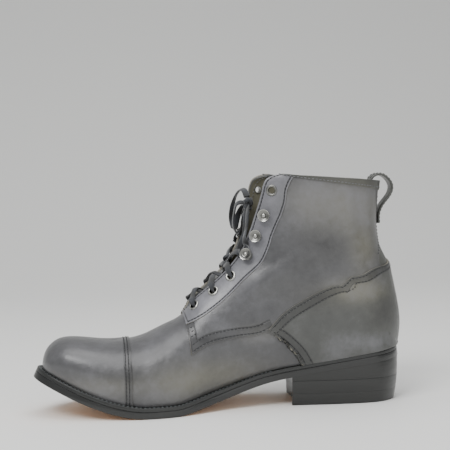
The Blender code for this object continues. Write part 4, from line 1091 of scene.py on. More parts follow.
@dataclass
class Patch:
    """A patch of the upper between given edges, in fan rows and v."""

    row_v: Callable[[float, float], tuple[float, float]]
    count_a: int
    count_b: int
    out: float
    sides: tuple[int, ...] = tuple(Side)
    edge: Callable[[float, float], float] = field(default=lambda row, v: 99.0)

    def mesh(self) -> bmesh.types.BMesh:
        """Outer sheet of the patch with its attributes.

        Returns:
            A bmesh whose vertices carry edge, shade (painted highlights and shade mixed with tone) and warm.
        """
        shape = bmesh.new()
        layers = [shape.verts.layers.float.new(n) for n in ("edge", "shade", "warm")]
        for side in self.sides:
            spots: dict[tuple[int, int], tuple[float, float]] = {}

            def place(a: int, b: int, side: int = side) -> Vector:
                """Point of the sheet.

                Args:
                    a: Number or share of the row.
                    b: Number or share of the column.
                    side: Sign of the side.

                Returns:
                    The point.
                """
                row, v = self.row_v(a / self.count_a, b / self.count_b)
                spots[a, b] = (row, v)
                return FORM.lifted(row, v, side, self.out)

            verts = add_sheet(shape, self.count_a, self.count_b, place, flipped=side < 0)
            order = [spots[key] for key in spots]
            for vertex, (row, v) in zip(verts, order):
                # Painted highlights and shade, with the hide's tone, from the patch table.
                shade, warm = tone_at(vertex.co)
                for layer, value in zip(layers, (self.edge(row, v), shade, warm)):
                    vertex[layer] = value
        weld(shape)
        return shape


def tone_at(spot: Vector) -> tuple[float, float]:
    """Painted light and shade, mixed with tone, and warmth of the hide at a point, from the listed patches.

    Args:
        spot: Point in metres.

    Returns:
        The painted light and tone from -1 to 1 and the warmth from 0 to 1.
    """
    shade = warm = 0.0
    for tone in PAINTED_LIGHT_AND_TONE_PATCHES:
        reach = math.hypot((spot.x / MM - tone.x) / tone.wide, (spot.z / MM - tone.z) / tone.tall)
        weight = math.exp(-reach * reach)
        shade += tone.shade * weight
        warm += tone.warm * weight
    return max(-1.0, min(1.0, shade)), min(1.0, warm)


@dataclass
class Stitching:
    """Rows of thread stitches, each stitch a small rounded bead sunk in its needle holes."""

    shop: Workshop
    pitch: float = 3.0 * MM
    length: float = 2.3 * MM
    radius: float = 0.36 * MM

    def along(self, name: str, lines: Sequence[tuple[list[Vector], list[Vector]]], finish: Plain,
              slot: str) -> bpy.types.Object:
        """Sew along lines.

        Args:
            name: Name of the piece.
            lines: For each row, its points and the directions out of the leather there.
            finish: Finish of the thread.
            slot: Handed on to join.

        Returns:
            One object with all the stitches.
        """
        shape = bmesh.new()
        for points, outs in lines:
            gaps = np.array([0.0] + [(b - a).length for a, b in zip(points, points[1:])])
            keys = np.cumsum(gaps)
            count = max(1, int(keys[-1] / self.pitch))
            coords, ways = np.array([p[:] for p in points]), np.array([o[:] for o in outs])
            for k in range(count):
                middle = (k + 0.5) * keys[-1] / count
                ends = [Vector([np.interp(middle + d, keys, coords[:, j]) for j in range(3)])
                        for d in (-self.length / 2.0, self.length / 2.0)]
                out = Vector([np.interp(middle, keys, ways[:, j]) for j in range(3)]).normalized()
                way = (ends[1] - ends[0]).normalized()
                cross = out.cross(way).normalized()
                turn = Matrix((way, cross, way.cross(cross))).transposed().to_4x4()
                size = Matrix.Diagonal((self.length / 2.0, self.radius, self.radius, 1.0))
                bmesh.ops.create_uvsphere(shape, u_segments=6, v_segments=4, radius=1.0,
                                          matrix=Matrix.Translation((ends[0] + ends[1]) / 2.0) @ turn @ size)
        item = self.shop.object(name, shape, (finish,))
        return self.shop.join(item, slot)


def surface_line(spots: Iterable[tuple[float, float]], side: int, out: float) -> tuple[list, list]:
    """Points and outward directions of a line given in fan rows and v.

    Args:
        spots: Fan rows and v.
        side: Sign of the side.
        out: Distance outward in metres.

    Returns:
        The points and the directions.
    """
    spots = list(spots)
    return ([FORM.lifted(row, v, side, out) for row, v in spots],
            [FORM.normal(row, v, side) for row, v in spots])


def spread(first: float, last: float, count: int) -> list[float]:
    """Evenly spread numbers, both ends included."""
    return [first + (last - first) * k / count for k in range(count + 1)]


@dataclass
class Upper:
    """The hollow upper and every panel sewn on it."""

    shop: Workshop
    sizes: Sizes = FORM.sizes
    eyelet_inset: float = 8.0 * MM
    hook_inset: float = 8.2 * MM
    bore: float = 6.3 * MM

    def eyelets(self) -> list[tuple[float, float, Side]]:
        """Fan row, v and side of every eyelet."""
        rows = LOW_EYELET_ROWS + (TOP_EYELET_ROW,)
        return [(r, FORM.v_from_front(r, self.eyelet_inset), s) for s in Side for r in rows]

    def hooks(self) -> list[tuple[float, float, Side]]:
        """Fan row, v and side of every hook."""
        return [(r, FORM.v_from_front(r, self.hook_inset), s) for s in Side for r in HOOK_ROWS]

    @staticmethod
    def frame_at(row: float, v: float, side: int, out: float) -> Matrix:
        """Frame on the upper: Z points out and X to the throat's edge.

        Args:
            row: Fan row.
            v: Place up the section, from 0 at the foot to 1 at the ridge or throat.
            side: Sign of the side.
            out: Distance outward in metres.

        Returns:
            The frame.
        """
        normal = FORM.normal(row, v, side)
        forward = FORM.smooth_point(row, v + 0.02, side) - FORM.smooth_point(row, v - 0.02, side)
        forward = (forward - normal * forward.dot(normal)).normalized()
        turn = Matrix((forward, normal.cross(forward), normal)).transposed().to_4x4()
        return Matrix.Translation(FORM.lifted(row, v, side, out)) @ turn

    def pierce(self, item: bpy.types.Object) -> None:
        """Cut the eyelet holes through a piece.

        Args:
            item: The object.
        """
        shape = bmesh.new()
        for row, v, side in self.eyelets():
            bmesh.ops.create_cone(shape, cap_ends=True, segments=24, radius1=self.bore / 2.0,
                                  radius2=self.bore / 2.0, depth=14.0 * MM,
                                  matrix=self.frame_at(row, v, side, 0.0))
        cutter = self.shop.object("eyelet_cutter", shape, ())
        cut = item.modifiers.new("eyelet_holes", "BOOLEAN")
        cut.operation = "DIFFERENCE"
        cut.object = cutter
        self.shop.settle(item)
        bpy.data.objects.remove(cutter, do_unlink=True)

    def wall(self, item: bpy.types.Object, thickness: float, inner: int = 0, rim: int = 0,
             bevel: float = 0.35 * MM) -> bpy.types.Object:
        """Give a sheet its thickness, inward, and round its cut edges.

        Args:
            item: The object.
            thickness: Thickness in metres.
            inner: Slot of the inner face, counted from the outer one.
            rim: Slot of the cut edge, counted from the outer face.
            bevel: Width of the rounding, or 0.

        Returns:
            The same object.
        """
        solid = item.modifiers.new("wall", "SOLIDIFY")
        solid.thickness = thickness
        solid.offset = -1.0
        solid.material_offset = inner
        solid.material_offset_rim = rim
        if bevel > 0.0:
            soft = item.modifiers.new("edges", "BEVEL")
            soft.width = bevel
            soft.segments = 2
            soft.limit_method = "ANGLE"
            soft.angle_limit = math.radians(50.0)
        return self.shop.settle(item)

    def shell(self) -> None:
        """Vamp and lining in one hollow shell, open at the collar, the throat and underneath."""

        def row_v(a: float, b: float) -> tuple[float, float]:
            """Rows close together where the toe is round."""
            row = COLLAR_ROW * a
            return row, b * FORM.front_v(row)

        patch = Patch(row_v, 240, 56, 0.0)
        item = self.shop.object("upper_vamp_and_lining", patch.mesh(), (VAMP, LINING, BINDING))
        self.wall(item, self.sizes.wall, inner=1, rim=2, bevel=0.0)
        self.pierce(item)
        self.shop.join(item, "upper", "upper")

    def toe_cap(self) -> None:
        """Toe cap with its straight cut edge across the vamp."""

        def row_v(a: float, b: float) -> tuple[float, float]:
            """From the tip to the seam."""
            return CAP_ROW * a, b

        def edge(row: float, v: float) -> float:
            """Millimetres to the cap's cut edge."""
            return (CAP_ROW - row) * FORM.row_rate(min(row + 0.01, CAP_ROW), v) / MM if row > 5.0 else 99.0

        patch = Patch(row_v, 90, 60, self.sizes.panel, edge=edge)
        item = self.shop.object("toe_cap_leather", patch.mesh(), (CAP, RAW_EDGE))
        self.wall(item, self.sizes.panel - 0.05 * MM, rim=1)
        self.shop.join(item, "toe_cap", "toe_cap")
        lines = []
        for distance in (2.2, 4.6):
            for side in Side:
                spots = [(CAP_ROW - distance * MM / FORM.row_rate(CAP_ROW - 0.1, v), v)
                         for v in spread(0.03, 0.999, 40)]
                lines.append(surface_line(spots, side, self.sizes.panel + 0.1 * MM))
        Stitching(self.shop).along("toe_cap_stitches", lines, DARK_THREAD, "toe_cap")

    def low_edge(self, row: float) -> float:
        """Lower edge of a quarter, which runs under the counter and to the back strap.

        Args:
            row: Fan row.

        Returns:
            The v of the edge.
        """
        if row < FORM.junction_row:
            return FORM.quarter_foot(row)
        if row < STRAP_ROW:
            return FORM.counter_top(row) - 3.0 * MM / FORM.v_rate(row, FORM.counter_top(row))
        return FORM.v_of_half(row, FORM.strap(row) * self.sizes.ball_width)

    def quarters(self) -> None:
        """The two quarters and the two eyestays, and their stitches."""
        first, last = THROAT_ROW + 0.05, COLLAR_ROW - 0.05
        seam = 0.5 * MM / self.sizes.upper_height

        def quarter_row_v(a: float, b: float) -> tuple[float, float]:
            """Between the lower edge and the eyestay.

            Args:
                a: Number or share of the row.
                b: Number or share of the column.

            Returns:
                Fan row and v.
            """
            row = first + (last - first) * a
            low, high = max(self.low_edge(row), 0.0), FORM.eyestay_back(row) + seam
            return row, low + (high - low) * b

        def quarter_edge(row: float, v: float) -> float:
            """Millimetres to the lower or the front cut edge.

            Args:
                row: Fan row.
                v: Place up the section, from 0 at the foot to 1 at the ridge or throat.

            Returns:
                The distance.
            """
            if row > FORM.junction_row + 0.3:
                return 99.0
            low = (v - FORM.quarter_foot(row)) * FORM.v_rate(row, v)
            front = (row - first) * FORM.row_rate(row, v) + 1.0 * MM
            return min(low, front) / MM

        def stay_row_v(a: float, b: float) -> tuple[float, float]:
            """Between the eyestay's rear edge and the throat.

            Args:
                a: Number or share of the row.
                b: Number or share of the column.

            Returns:
                Fan row and v.
            """
            row = first + (last - first) * a
            low, high = FORM.eyestay_back(row) + seam, FORM.front_v(row)
            return row, low + (high - low) * b

        def stay_edge(row: float, v: float) -> float:
            """Millimetres to the nearest edge of the eyestay.

            Args:
                row: Fan row.
                v: Place up the section, from 0 at the foot to 1 at the ridge or throat.

            Returns:
                The distance.
            """
            rate = FORM.v_rate(row, v)
            rear = (v - FORM.eyestay_back(row)) * rate
            front = (FORM.front_v(row) - v) * rate
            return min(rear, front, (row - first) * FORM.row_rate(row, v) + 0.2 * MM) / MM

        for side in Side:
            name = side.label
            patch = Patch(quarter_row_v, 170, 44, self.sizes.panel, (side,), quarter_edge)
            item = self.shop.object(f"quarter_leather_{name}", patch.mesh(), (QUARTER, RAW_EDGE))
            self.wall(item, self.sizes.panel - 0.05 * MM, rim=1)
            self.shop.join(item, f"quarter_{name}", f"quarter_{name}")
            patch = Patch(stay_row_v, 170, 14, self.sizes.trim + 0.3 * MM, (side,), stay_edge)
            item = self.shop.object(f"eyestay_leather_{name}", patch.mesh(), (EYESTAY, RAW_EDGE))
            self.wall(item, self.sizes.trim + 0.2 * MM, rim=1)
            self.pierce(item)
            self.shop.join(item, f"eyestay_{name}", f"eyestay_{name}")
            self.quarter_stitches(side, name, first)

    def quarter_stitches(self, side: int, name: str, first: float) -> None:
        """Stitches of one quarter and its eyestay.

        Args:
            side: Sign of the side.
            name: Name of the side.
            first: Fan row of the front edge.
        """
        out = self.sizes.panel + 0.1 * MM
        lines = []
        for distance in (2.0, 7.2):
            rows = spread(first + 0.12, FORM.junction_row - 0.1, 60)
            spots = [(r, FORM.quarter_foot(r) + distance * MM / FORM.v_rate(r, FORM.quarter_foot(r)))
                     for r in rows]
            lines.append(surface_line(spots, side, out))
        for share in (0.35, 0.55, 0.75):
            low = FORM.quarter_foot(first + 0.2) + 7.2 * MM / FORM.v_rate(first + 0.2, 0.4)
            v = low + (FORM.eyestay_back(first + 0.2) - low) * share
            lines.append(surface_line([(r, v) for r in spread(first + 0.10, first + 0.62, 12)], side, out))
        Stitching(self.shop).along(f"quarter_stitches_{name}", lines, DARK_THREAD, f"quarter_{name}")
        out = self.sizes.trim + 0.4 * MM
        rows = spread(first + 0.15, COLLAR_ROW - 0.5, 150)
        rear = [(r, FORM.eyestay_back(r) + 2.0 * MM / FORM.v_rate(r, FORM.eyestay_back(r))) for r in rows]
        front = [(r, FORM.front_v(r) - 2.0 * MM / FORM.v_rate(r, 0.97)) for r in rows]
        lines = [surface_line(rear, side, out), surface_line(front, side, out)]
        Stitching(self.shop).along(f"eyestay_stitches_{name}", lines, DARK_THREAD, f"eyestay_{name}")
        out = -self.sizes.wall - 0.1 * MM
        inner = [(r, FORM.front_v(r) - 4.0 * MM / FORM.v_rate(r, 0.97)) for r in rows]
        points, outs = surface_line(inner, side, out)
        Stitching(self.shop).along(f"lining_stitches_{name}", [(points, [-o for o in outs])], GREY_THREAD,
                                   "upper")

    def counter(self) -> None:
        """Counter round the heel, its top edge over the quarters."""
        top_end = 25.35

        def top(row: float) -> float:
            """Upper edge of the counter, closed at the back."""
            return max(0.0, FORM.counter_top(row)) * min(1.0, max(0.0, (top_end - row) / 0.25))

        def row_v(a: float, b: float) -> tuple[float, float]:
            """Rows pushed back by the curved front edge below the junction.

            Args:
                a: Number or share of the row.
                b: Number or share of the column.

            Returns:
                Fan row and v.
            """
            row = FORM.junction_row + (top_end - FORM.junction_row) * a
            v = top(row) * b
            return (max(row, FORM.counter_front(v)) if v < FORM.junction_v else row), v

        def edge(row: float, v: float) -> float:
            """Millimetres to the counter's top or front edge.

            Args:
                row: Fan row.
                v: Place up the section, from 0 at the foot to 1 at the ridge or throat.

            Returns:
                The distance.
            """
            over = (top(row) - v) * FORM.v_rate(row, v)
            limit = FORM.counter_front(v) if v < FORM.junction_v else FORM.junction_row
            front = (row - limit) * FORM.row_rate(row, v)
            if v > 0.9 * FORM.junction_v:
                front = max(front, over)
            return min(over, front) / MM

        patch = Patch(row_v, 150, 40, self.sizes.panel + 0.9 * MM, edge=edge)
        item = self.shop.object("counter_leather", patch.mesh(), (COUNTER, RAW_EDGE))
        self.wall(item, self.sizes.panel + 0.8 * MM, rim=1)
        self.shop.join(item, "counter", "counter")
        out = self.sizes.panel + 1.0 * MM
        lines = []
        for side in Side:
            for distance in (2.0, 7.6):
                rows = spread(FORM.junction_row + 0.25, 25.0, 120)
                spots = [(r, top(r) - distance * MM / FORM.v_rate(r, max(top(r) - 0.02, 0.02))) for r in rows]
                lines.append(surface_line([s for s in spots if s[1] > 0.0], side, out))
                vs = spread(0.02, FORM.junction_v * 0.97, 40)
                spots = [(FORM.counter_front(v) + distance * MM / FORM.row_rate(FORM.counter_front(v), v), v)
                         for v in vs]
                lines.append(surface_line(spots, side, out))
        Stitching(self.shop).along("counter_stitches", lines, DARK_THREAD, "counter")

    def back_strap(self) -> None:
        """Strap over the back seam between the quarters."""

        def row_v(a: float, b: float) -> tuple[float, float]:
            """Between the two quarters."""
            row = 24.0 + (COLLAR_ROW - 0.05 - 24.0) * a
            return row, FORM.v_of_half(row, FORM.strap(row) * self.sizes.ball_width) * 1.03 * b

        patch = Patch(row_v, 60, 10, 0.7 * MM)
        item = self.shop.object("back_strap_leather", patch.mesh(), (STRAP, RAW_EDGE))
        self.wall(item, 0.65 * MM, rim=0, bevel=0.0)
        self.shop.join(item, "back_strap", "back_strap")
        lines = []
        for side in Side:
            spots = [(r, FORM.v_of_half(r, FORM.strap(r) * self.sizes.ball_width)
                      + 1.6 * MM / FORM.v_rate(r, 0.1)) for r in spread(24.9, 29.4, 60)]
            lines.append(surface_line(spots, side, self.sizes.panel + 0.1 * MM))
        Stitching(self.shop).along("back_strap_stitches", lines, DARK_THREAD, "back_strap")

    def binding(self) -> None:
        """Folded binding over the collar's edge."""
        tall = 3.6 * MM / FORM.row_rate(29.8, 0.5)

        def row_v(a: float, b: float) -> tuple[float, float]:
            """Narrow band below the collar, up to the flaps' rounded corners."""
            row = COLLAR_ROW - tall * (1.0 - a)
            return row, b * FORM.front_v(row)

        patch = Patch(row_v, 4, 80, self.sizes.trim + 0.6 * MM)
        item = self.shop.object("collar_binding_leather", patch.mesh(), (BINDING,))
        self.wall(item, self.sizes.trim + self.sizes.wall + 0.9 * MM, bevel=0.5 * MM)
        self.shop.join(item, "collar_binding", "collar_binding")
        lines = []
        for side in Side:
            for out in (self.sizes.trim + 0.7 * MM, -self.sizes.wall - 0.5 * MM):
                spots = [(COLLAR_ROW - tall * 0.72, v) for v in spread(0.03, 0.93, 90)]
                points, outs = surface_line(spots, side, out)
                lines.append((points, [o if out > 0.0 else -o for o in outs]))
        Stitching(self.shop).along("collar_stitches", lines, GREY_THREAD, "collar_binding")

    def tongue(self) -> None:
        """Tongue inside the throat."""
        curves = {n: Curve([t.row for t in TONGUE], [getattr(t, n) for t in TONGUE])
                  for n in Tongue._fields[1:]}
        depth, over = 10.0 * MM, 6.5 * MM
        first, last = TONGUE[0].row, TONGUE[-1].row

        def place(a: int, b: int) -> Vector:
            """Point of the tongue's outer sheet.

            Args:
                a: Number or share of the row.
                b: Number or share of the column.

            Returns:
                The point.
            """
            row = first + (last - first) * a / 60
            cut = FORM.section(row)
            angle = 0.45 * math.pi * (2.0 * b / 28 - 1.0)
            down = depth * (curves["depth"](row) + curves["sag"](row) * (1.0 - math.cos(angle)))
            spot = cut.front - (cut.front - cut.foot).normalized() * down
            y = cut.lean - math.sin(angle) * (cut.gap + curves["over"](row) * over)
            soft = 0.5 * MM * noise.noise(Vector((spot.x, y, spot.z)) / (16.0 * MM))
            return Vector((spot.x - cut.turn * y + soft, y, spot.z + soft))

        shape = bmesh.new()
        for name in ("shade", "warm"):
            shape.verts.layers.float.new(name)
        far = shape.verts.layers.float.new("edge")
        add_sheet(shape, 60, 28, place, flipped=True)
        for vertex in shape.verts:
            vertex[far] = 99.0
        item = self.shop.object("tongue_leather", shape, (TONGUE_HIDE, LINING))
        self.wall(item, 2.2 * MM, inner=1, rim=0)
        self.shop.join(item, "tongue", "tongue")

    def build(self) -> None:
        """Make every piece of the upper."""
        self.shell()
        self.toe_cap()
        self.quarters()
        self.counter()
        self.back_strap()
        self.binding()
        self.tongue()


@dataclass
class PullLoop:
    """Doubled strap of leather from inside the collar down onto the back strap."""

    shop: Workshop
    width: float = 13.0 * MM
    thick: float = 2.1 * MM
    reach: float = 13.5 * MM

    def build(self) -> None:
        """Make the loop and its stitches."""
        sizes = FORM.sizes
        inside = sizes.wall + sizes.gap + 2.7 * MM + self.thick / 2.0
        outside = sizes.panel_gap + sizes.panel + 2.0 * sizes.gap + self.thick / 2.0
        collar = FORM.smooth_point(COLLAR_ROW, 0.0, 1)
        route = [FORM.smooth_point(row, 0.0, 1) + Vector((inside, 0.0, 0.0)) for row in (29.2, 29.8)]
        route += [collar + Vector((-back, 0.0, up)) * self.reach for back, up in PULL_LOOP]
        route += [FORM.smooth_point(row, 0.0, 1) - Vector((outside, 0.0, 0.0)) for row in (28.5, 28.0)]
        centres = smooth_path(route, 80)
        ribbon = Ribbon(self.shop, self.width, self.thick, squareness=6.0)
        outs = ribbon.level_outs(centres, Vector((0.0, 1.0, 0.0)))
        item = ribbon.sweep("pull_loop_leather", centres, outs, STRAP)
        self.shop.join(item, "pull_loop", "pull_loop")
        lines = []
        for y in (-self.width / 2.0 + 1.8 * MM, self.width / 2.0 - 1.8 * MM):
            points = [c + o * (self.thick / 2.0 + 0.1 * MM) + Vector((0.0, y, 0.0))
                      for c, o in zip(centres, outs)]
            lines.append((points[6:], outs[6:]))
        Stitching(self.shop).along("pull_loop_stitches", lines, DARK_THREAD, "pull_loop")


@dataclass
class Ribbon:
    """Flat lace or strap of a rounded section, swept along a path."""

    shop: Workshop
    width: float
    thick: float
    squareness: float = 2.6
    around: int = 16

    @staticmethod
    def level_outs(centres: Sequence[Vector], across: Vector) -> list[Vector]:
        """Face directions that keep the ribbon's width along a fixed direction.

        Args:
            centres: Points of the middle line.
            across: The fixed direction.

        Returns:
            A direction for each point.
        """
        last = len(centres) - 1
        outs = []
        for k in range(last + 1):
            way = (centres[min(k + 1, last)] - centres[max(k - 1, 0)]).normalized()
            outs.append(way.cross(across).normalized())
        if outs[len(outs) // 2].x > 0.0:
            outs = [-o for o in outs]
        return outs

    @staticmethod
    def carried_outs(centres: Sequence[Vector], keys: Sequence[Vector]) -> list[Vector]:
        """Face directions blended between those given at even places and kept square to the path.

        Args:
            centres: Points of the middle line.
            keys: Directions at even places.

        Returns:
            A direction for each point.
        """
        last = len(centres) - 1
        curves = [Curve(range(len(keys)), [k[axis] for k in keys]) for axis in range(3)]
        outs = []
        for k in range(last + 1):
            way = (centres[min(k + 1, last)] - centres[max(k - 1, 0)]).normalized()
            out = Vector([c(k / last * (len(keys) - 1)) for c in curves])
            outs.append((out - way * out.dot(way)).normalized())
        return outs

    def sweep(self, name: str, centres: Sequence[Vector], outs: Sequence[Vector],
              finish: Leather | Braid, taper: float = 1.0) -> bpy.types.Object:
        """Sweep the section.

        Args:
            name: Name of the piece.
            centres: Points of the middle line.
            outs: Direction of the flat face at each point.
            finish: Its finish.
            taper: Share of the width that is left at both ends.

        Returns:
            The object, with a UV map in metres along and across.
        """
        shape = bmesh.new()
        last = len(centres) - 1
        steps = [0.0] + [(b - a).length for a, b in zip(centres, centres[1:])]
        travelled = np.cumsum(steps)

        def place(a: int, b: int) -> Vector:
            """Point of the swept section.

            Args:
                a: Number or share of the row.
                b: Number or share of the column.

            Returns:
                The point.
            """
            way = (centres[min(a + 1, last)] - centres[max(a - 1, 0)]).normalized()
            out = outs[a]
            across = way.cross(out).normalized()
            angle = 2.0 * math.pi * b / self.around
            power = 2.0 / self.squareness
            c, s = math.cos(angle), math.sin(angle)
            narrow = taper + (1.0 - taper) * min(1.0, 5.0 * min(a, last - a) / last)
            u = math.copysign(abs(c) ** power, c) * self.width / 2.0 * narrow
            w = math.copysign(abs(s) ** power, s) * self.thick / 2.0
            return centres[a] + across * u + out * w

        add_sheet(shape, last, self.around, place)
        uv = shape.loops.layers.uv.new("UVMap")
        shape.verts.index_update()
        lookup = KDTree(last + 1)
        for k, centre in enumerate(centres):
            lookup.insert(centre, k)
        lookup.balance()
        for face in shape.faces:
            for loop in face.loops:
                _, k, _ = lookup.find(loop.vert.co)
                way = (centres[min(k + 1, last)] - centres[max(k - 1, 0)]).normalized()
                across = way.cross(outs[k])
                loop[uv].uv = (travelled[k], (loop.vert.co - centres[k]).dot(across))
        if isinstance(finish, Leather):
            far = shape.verts.layers.float.new("edge")
            for vertex in shape.verts:
                vertex[far] = 99.0
        weld(shape)
        bmesh.ops.holes_fill(shape, edges=[e for e in shape.edges if e.is_boundary])
        bmesh.ops.recalc_face_normals(shape, faces=shape.faces)
        return self.shop.object(name, shape, (finish,))


@dataclass
class SoleUnit:
    """Outsole, welt, insole and the stacked heel."""

    shop: Workshop
    sizes: Sizes = FORM.sizes
    stations: int = 150

    def places(self, first: float, last: float) -> list[float]:
        """Places along an outline, close together at both ends.

        Args:
            first: First place.
            last: Last place.

        Returns:
            The places.
        """
        half = (last - first) / 2.0
        return [first + half * (1.0 - math.cos(math.pi * k / self.stations))
                for k in range(self.stations + 1)]

    def block(self, count_a: int, count_b: int, place: Callable[[int, int, int], Vector]) -> bmesh.types.BMesh:
        """Closed body over a grid with two layers.

        Args:
            count_a: Quads along the first direction.
            count_b: Quads along the second direction.
            place: Gives the point for a row, a column and a layer.

        Returns:
            The closed body.
        """
        shape = bmesh.new()
        add_sheet(shape, count_a, count_b, lambda a, b: Vector((a, b, 0.0)))
        result = bmesh.ops.extrude_face_region(shape, geom=shape.faces[:])
        for item in result["geom"]:
            if isinstance(item, bmesh.types.BMVert):
                item.co.z = 1.0
        for vertex in shape.verts:
            vertex.co = place(*(round(c) for c in vertex.co))
        weld(shape)
        bmesh.ops.recalc_face_normals(shape, faces=shape.faces)
        return shape

    def round_edges(self, item: bpy.types.Object, width: float) -> bpy.types.Object:
        """Round the sharp edges of a piece.

        Args:
            item: The object.
            width: Width of the rounding.

        Returns:
            The same object.
        """
        soft = item.modifiers.new("edges", "BEVEL")
        soft.width = width
        soft.segments = 3
        soft.limit_method = "ANGLE"
        soft.angle_limit = math.radians(40.0)
        return self.shop.settle(item, 35.0)

    def outsole(self) -> None:
        """Black-edged outsole with a plain tan tread."""
        first, last = FORM.ends()
        places = self.places(first, last)

        def place(a: int, b: int, layer: int) -> Vector:
            """Point of the outsole."""
            y0, y1 = FORM.edge_y(places[a], -1), FORM.edge_y(places[a], 1)
            return FORM.bend(places[a], y1 + (y0 - y1) * b / 8, self.sizes.outsole * layer)

        shape = self.block(len(places) - 1, 8, place)
        shape.normal_update()
        for face in shape.faces:
            face.material_index = 1 if face.normal.z < -0.5 else 0
        item = self.shop.object("outsole_leather", shape, (EDGE_INK, SOLE_LEATHER))
        self.round_edges(item, 0.7 * MM)
        self.shop.join(item, "outsole", "outsole")

    def welt(self) -> None:
        """Welt with a row of stitches round its top."""
        low = self.sizes.outsole + 0.1 * MM
        bed = self.sizes.wall + self.sizes.welt_bed / 2.0
        first, last = FORM.ends()
        inner_first, inner_last = FORM.ends(bed, 1.0)
        places = self.places(first, last)
        shape = bmesh.new()
        for side in Side:

            def place(a: int, b: int, side: int = side) -> Vector:
                """Point of the ring.

                Args:
                    a: Number or share of the row.
                    b: Number or share of the column.
                    side: Sign of the side.

                Returns:
                    The point.
                """
                if b == 0:
                    return Vector((places[a], FORM.edge_y(places[a], side), low))
                x = inner_first + (places[a] - first) / (last - first) * (inner_last - inner_first)
                return Vector((x, FORM.edge_y(x, side, bed, 1.0), low))

            add_sheet(shape, len(places) - 1, 1, place)
        weld(shape)
        result = bmesh.ops.extrude_face_region(shape, geom=shape.faces[:])
        for item in result["geom"]:
            if isinstance(item, bmesh.types.BMVert):
                item.co.z += self.sizes.welt
        for vertex in shape.verts:
            vertex.co = FORM.bend(*vertex.co)
        bmesh.ops.recalc_face_normals(shape, faces=shape.faces)
        item = self.shop.object("welt_leather", shape, (WELT_INK,))
        self.round_edges(item, 0.6 * MM)
        self.shop.join(item, "welt", "welt")
        height = self.sizes.outsole + 0.1 * MM + self.sizes.welt
        lines = []
        for side in Side:
            points = []
            for x in self.places(FORM.along(0.36), FORM.ends(1.6 * MM)[1]):
                points.append(FORM.bend(x, FORM.edge_y(x, side, 1.7 * MM), height + 0.05 * MM))
            lines.append((points, [Vector((0.0, 0.0, 1.0))] * len(points)))
        thread = Stitching(self.shop, pitch=3.4 * MM, length=2.7 * MM, radius=0.5 * MM)
        thread.along("welt_stitches", lines, WELT_THREAD, "welt")

    def insole(self) -> None:
        """Leather insole inside the upper."""
        low = self.sizes.outsole + self.sizes.gap
        inset = self.sizes.wall + self.sizes.welt_bed / 2.0 + 2.0 * self.sizes.gap
        first, last = FORM.ends(inset, 1.0)
        places = self.places(first, last)

        def place(a: int, b: int, layer: int) -> Vector:
            """Point of the insole."""
            y0, y1 = FORM.edge_y(places[a], -1, inset, 1.0), FORM.edge_y(places[a], 1, inset, 1.0)
            return FORM.bend(places[a], y1 + (y0 - y1) * b / 8, low + self.sizes.insole * layer)

        item = self.shop.object("insole_leather", self.block(len(places) - 1, 8, place), (LINING,))
        self.round_edges(item, 0.5 * MM)
        self.shop.join(item, "insole", "insole")

    def heel_piece(self, name: str, node: str, low: float, high: float | None) -> None:
        """One layer of the heel.

        Args:
            name: Name of the piece.
            node: CAD node that it stands for.
            low: Height of its underside.
            high: Height of its top, or None where it meets the outsole.
        """
        count_a, count_b, rise = 60, 16, self.sizes.heel_rise

        def place(a: int, b: int, layer: int) -> Vector:
            """Point of the layer.

            Args:
                a: Number or share of the row.
                b: Number or share of the column.
                layer: 0 underneath and 1 on top.

            Returns:
                The point.
            """
            height = low if layer == 0 else (high or rise)
            inset = self.sizes.gap + self.sizes.heel_taper * max(0.0, 1.0 - height / rise) ** 2.5
            back, _ = FORM.ends(inset)
            across = b / count_b
            medial = self.sizes.breast_medial - self.sizes.heel_set_back
            lateral = self.sizes.breast_lateral - self.sizes.heel_set_back
            breast = medial + (lateral - medial) * across
            breast -= self.sizes.breast_hollow * 4.0 * across * (1.0 - across)
            x = back + (breast - back) * (1.0 - math.cos(math.pi / 2.0 * a / count_a))
            y = FORM.edge_y(x, 1, inset) + (FORM.edge_y(x, -1, inset) - FORM.edge_y(x, 1, inset)) * across
            return Vector((x, y, FORM.tread(x) if layer == 1 and high is None else height))

        item = self.shop.object(name, self.block(count_a, count_b, place), (HEEL_INK,))
        self.round_edges(item, 0.35 * MM)
        self.shop.join(item, node, node)

    def build(self) -> None:
        """Make the sole and the heel."""
        self.outsole()
        self.welt()
        self.insole()
        lift_low = self.sizes.top_piece + 0.1 * MM
        wedge_low = lift_low + self.sizes.lift + 0.4 * MM
        self.heel_piece("heel_top_piece_rubber", "heel_top_piece", 0.0, self.sizes.top_piece)
        self.heel_piece("heel_lift_leather", "heel_lift", lift_low, lift_low + self.sizes.lift + 0.2 * MM)
        self.heel_piece("heel_wedge_leather", "heel_wedge_lift", wedge_low, None)


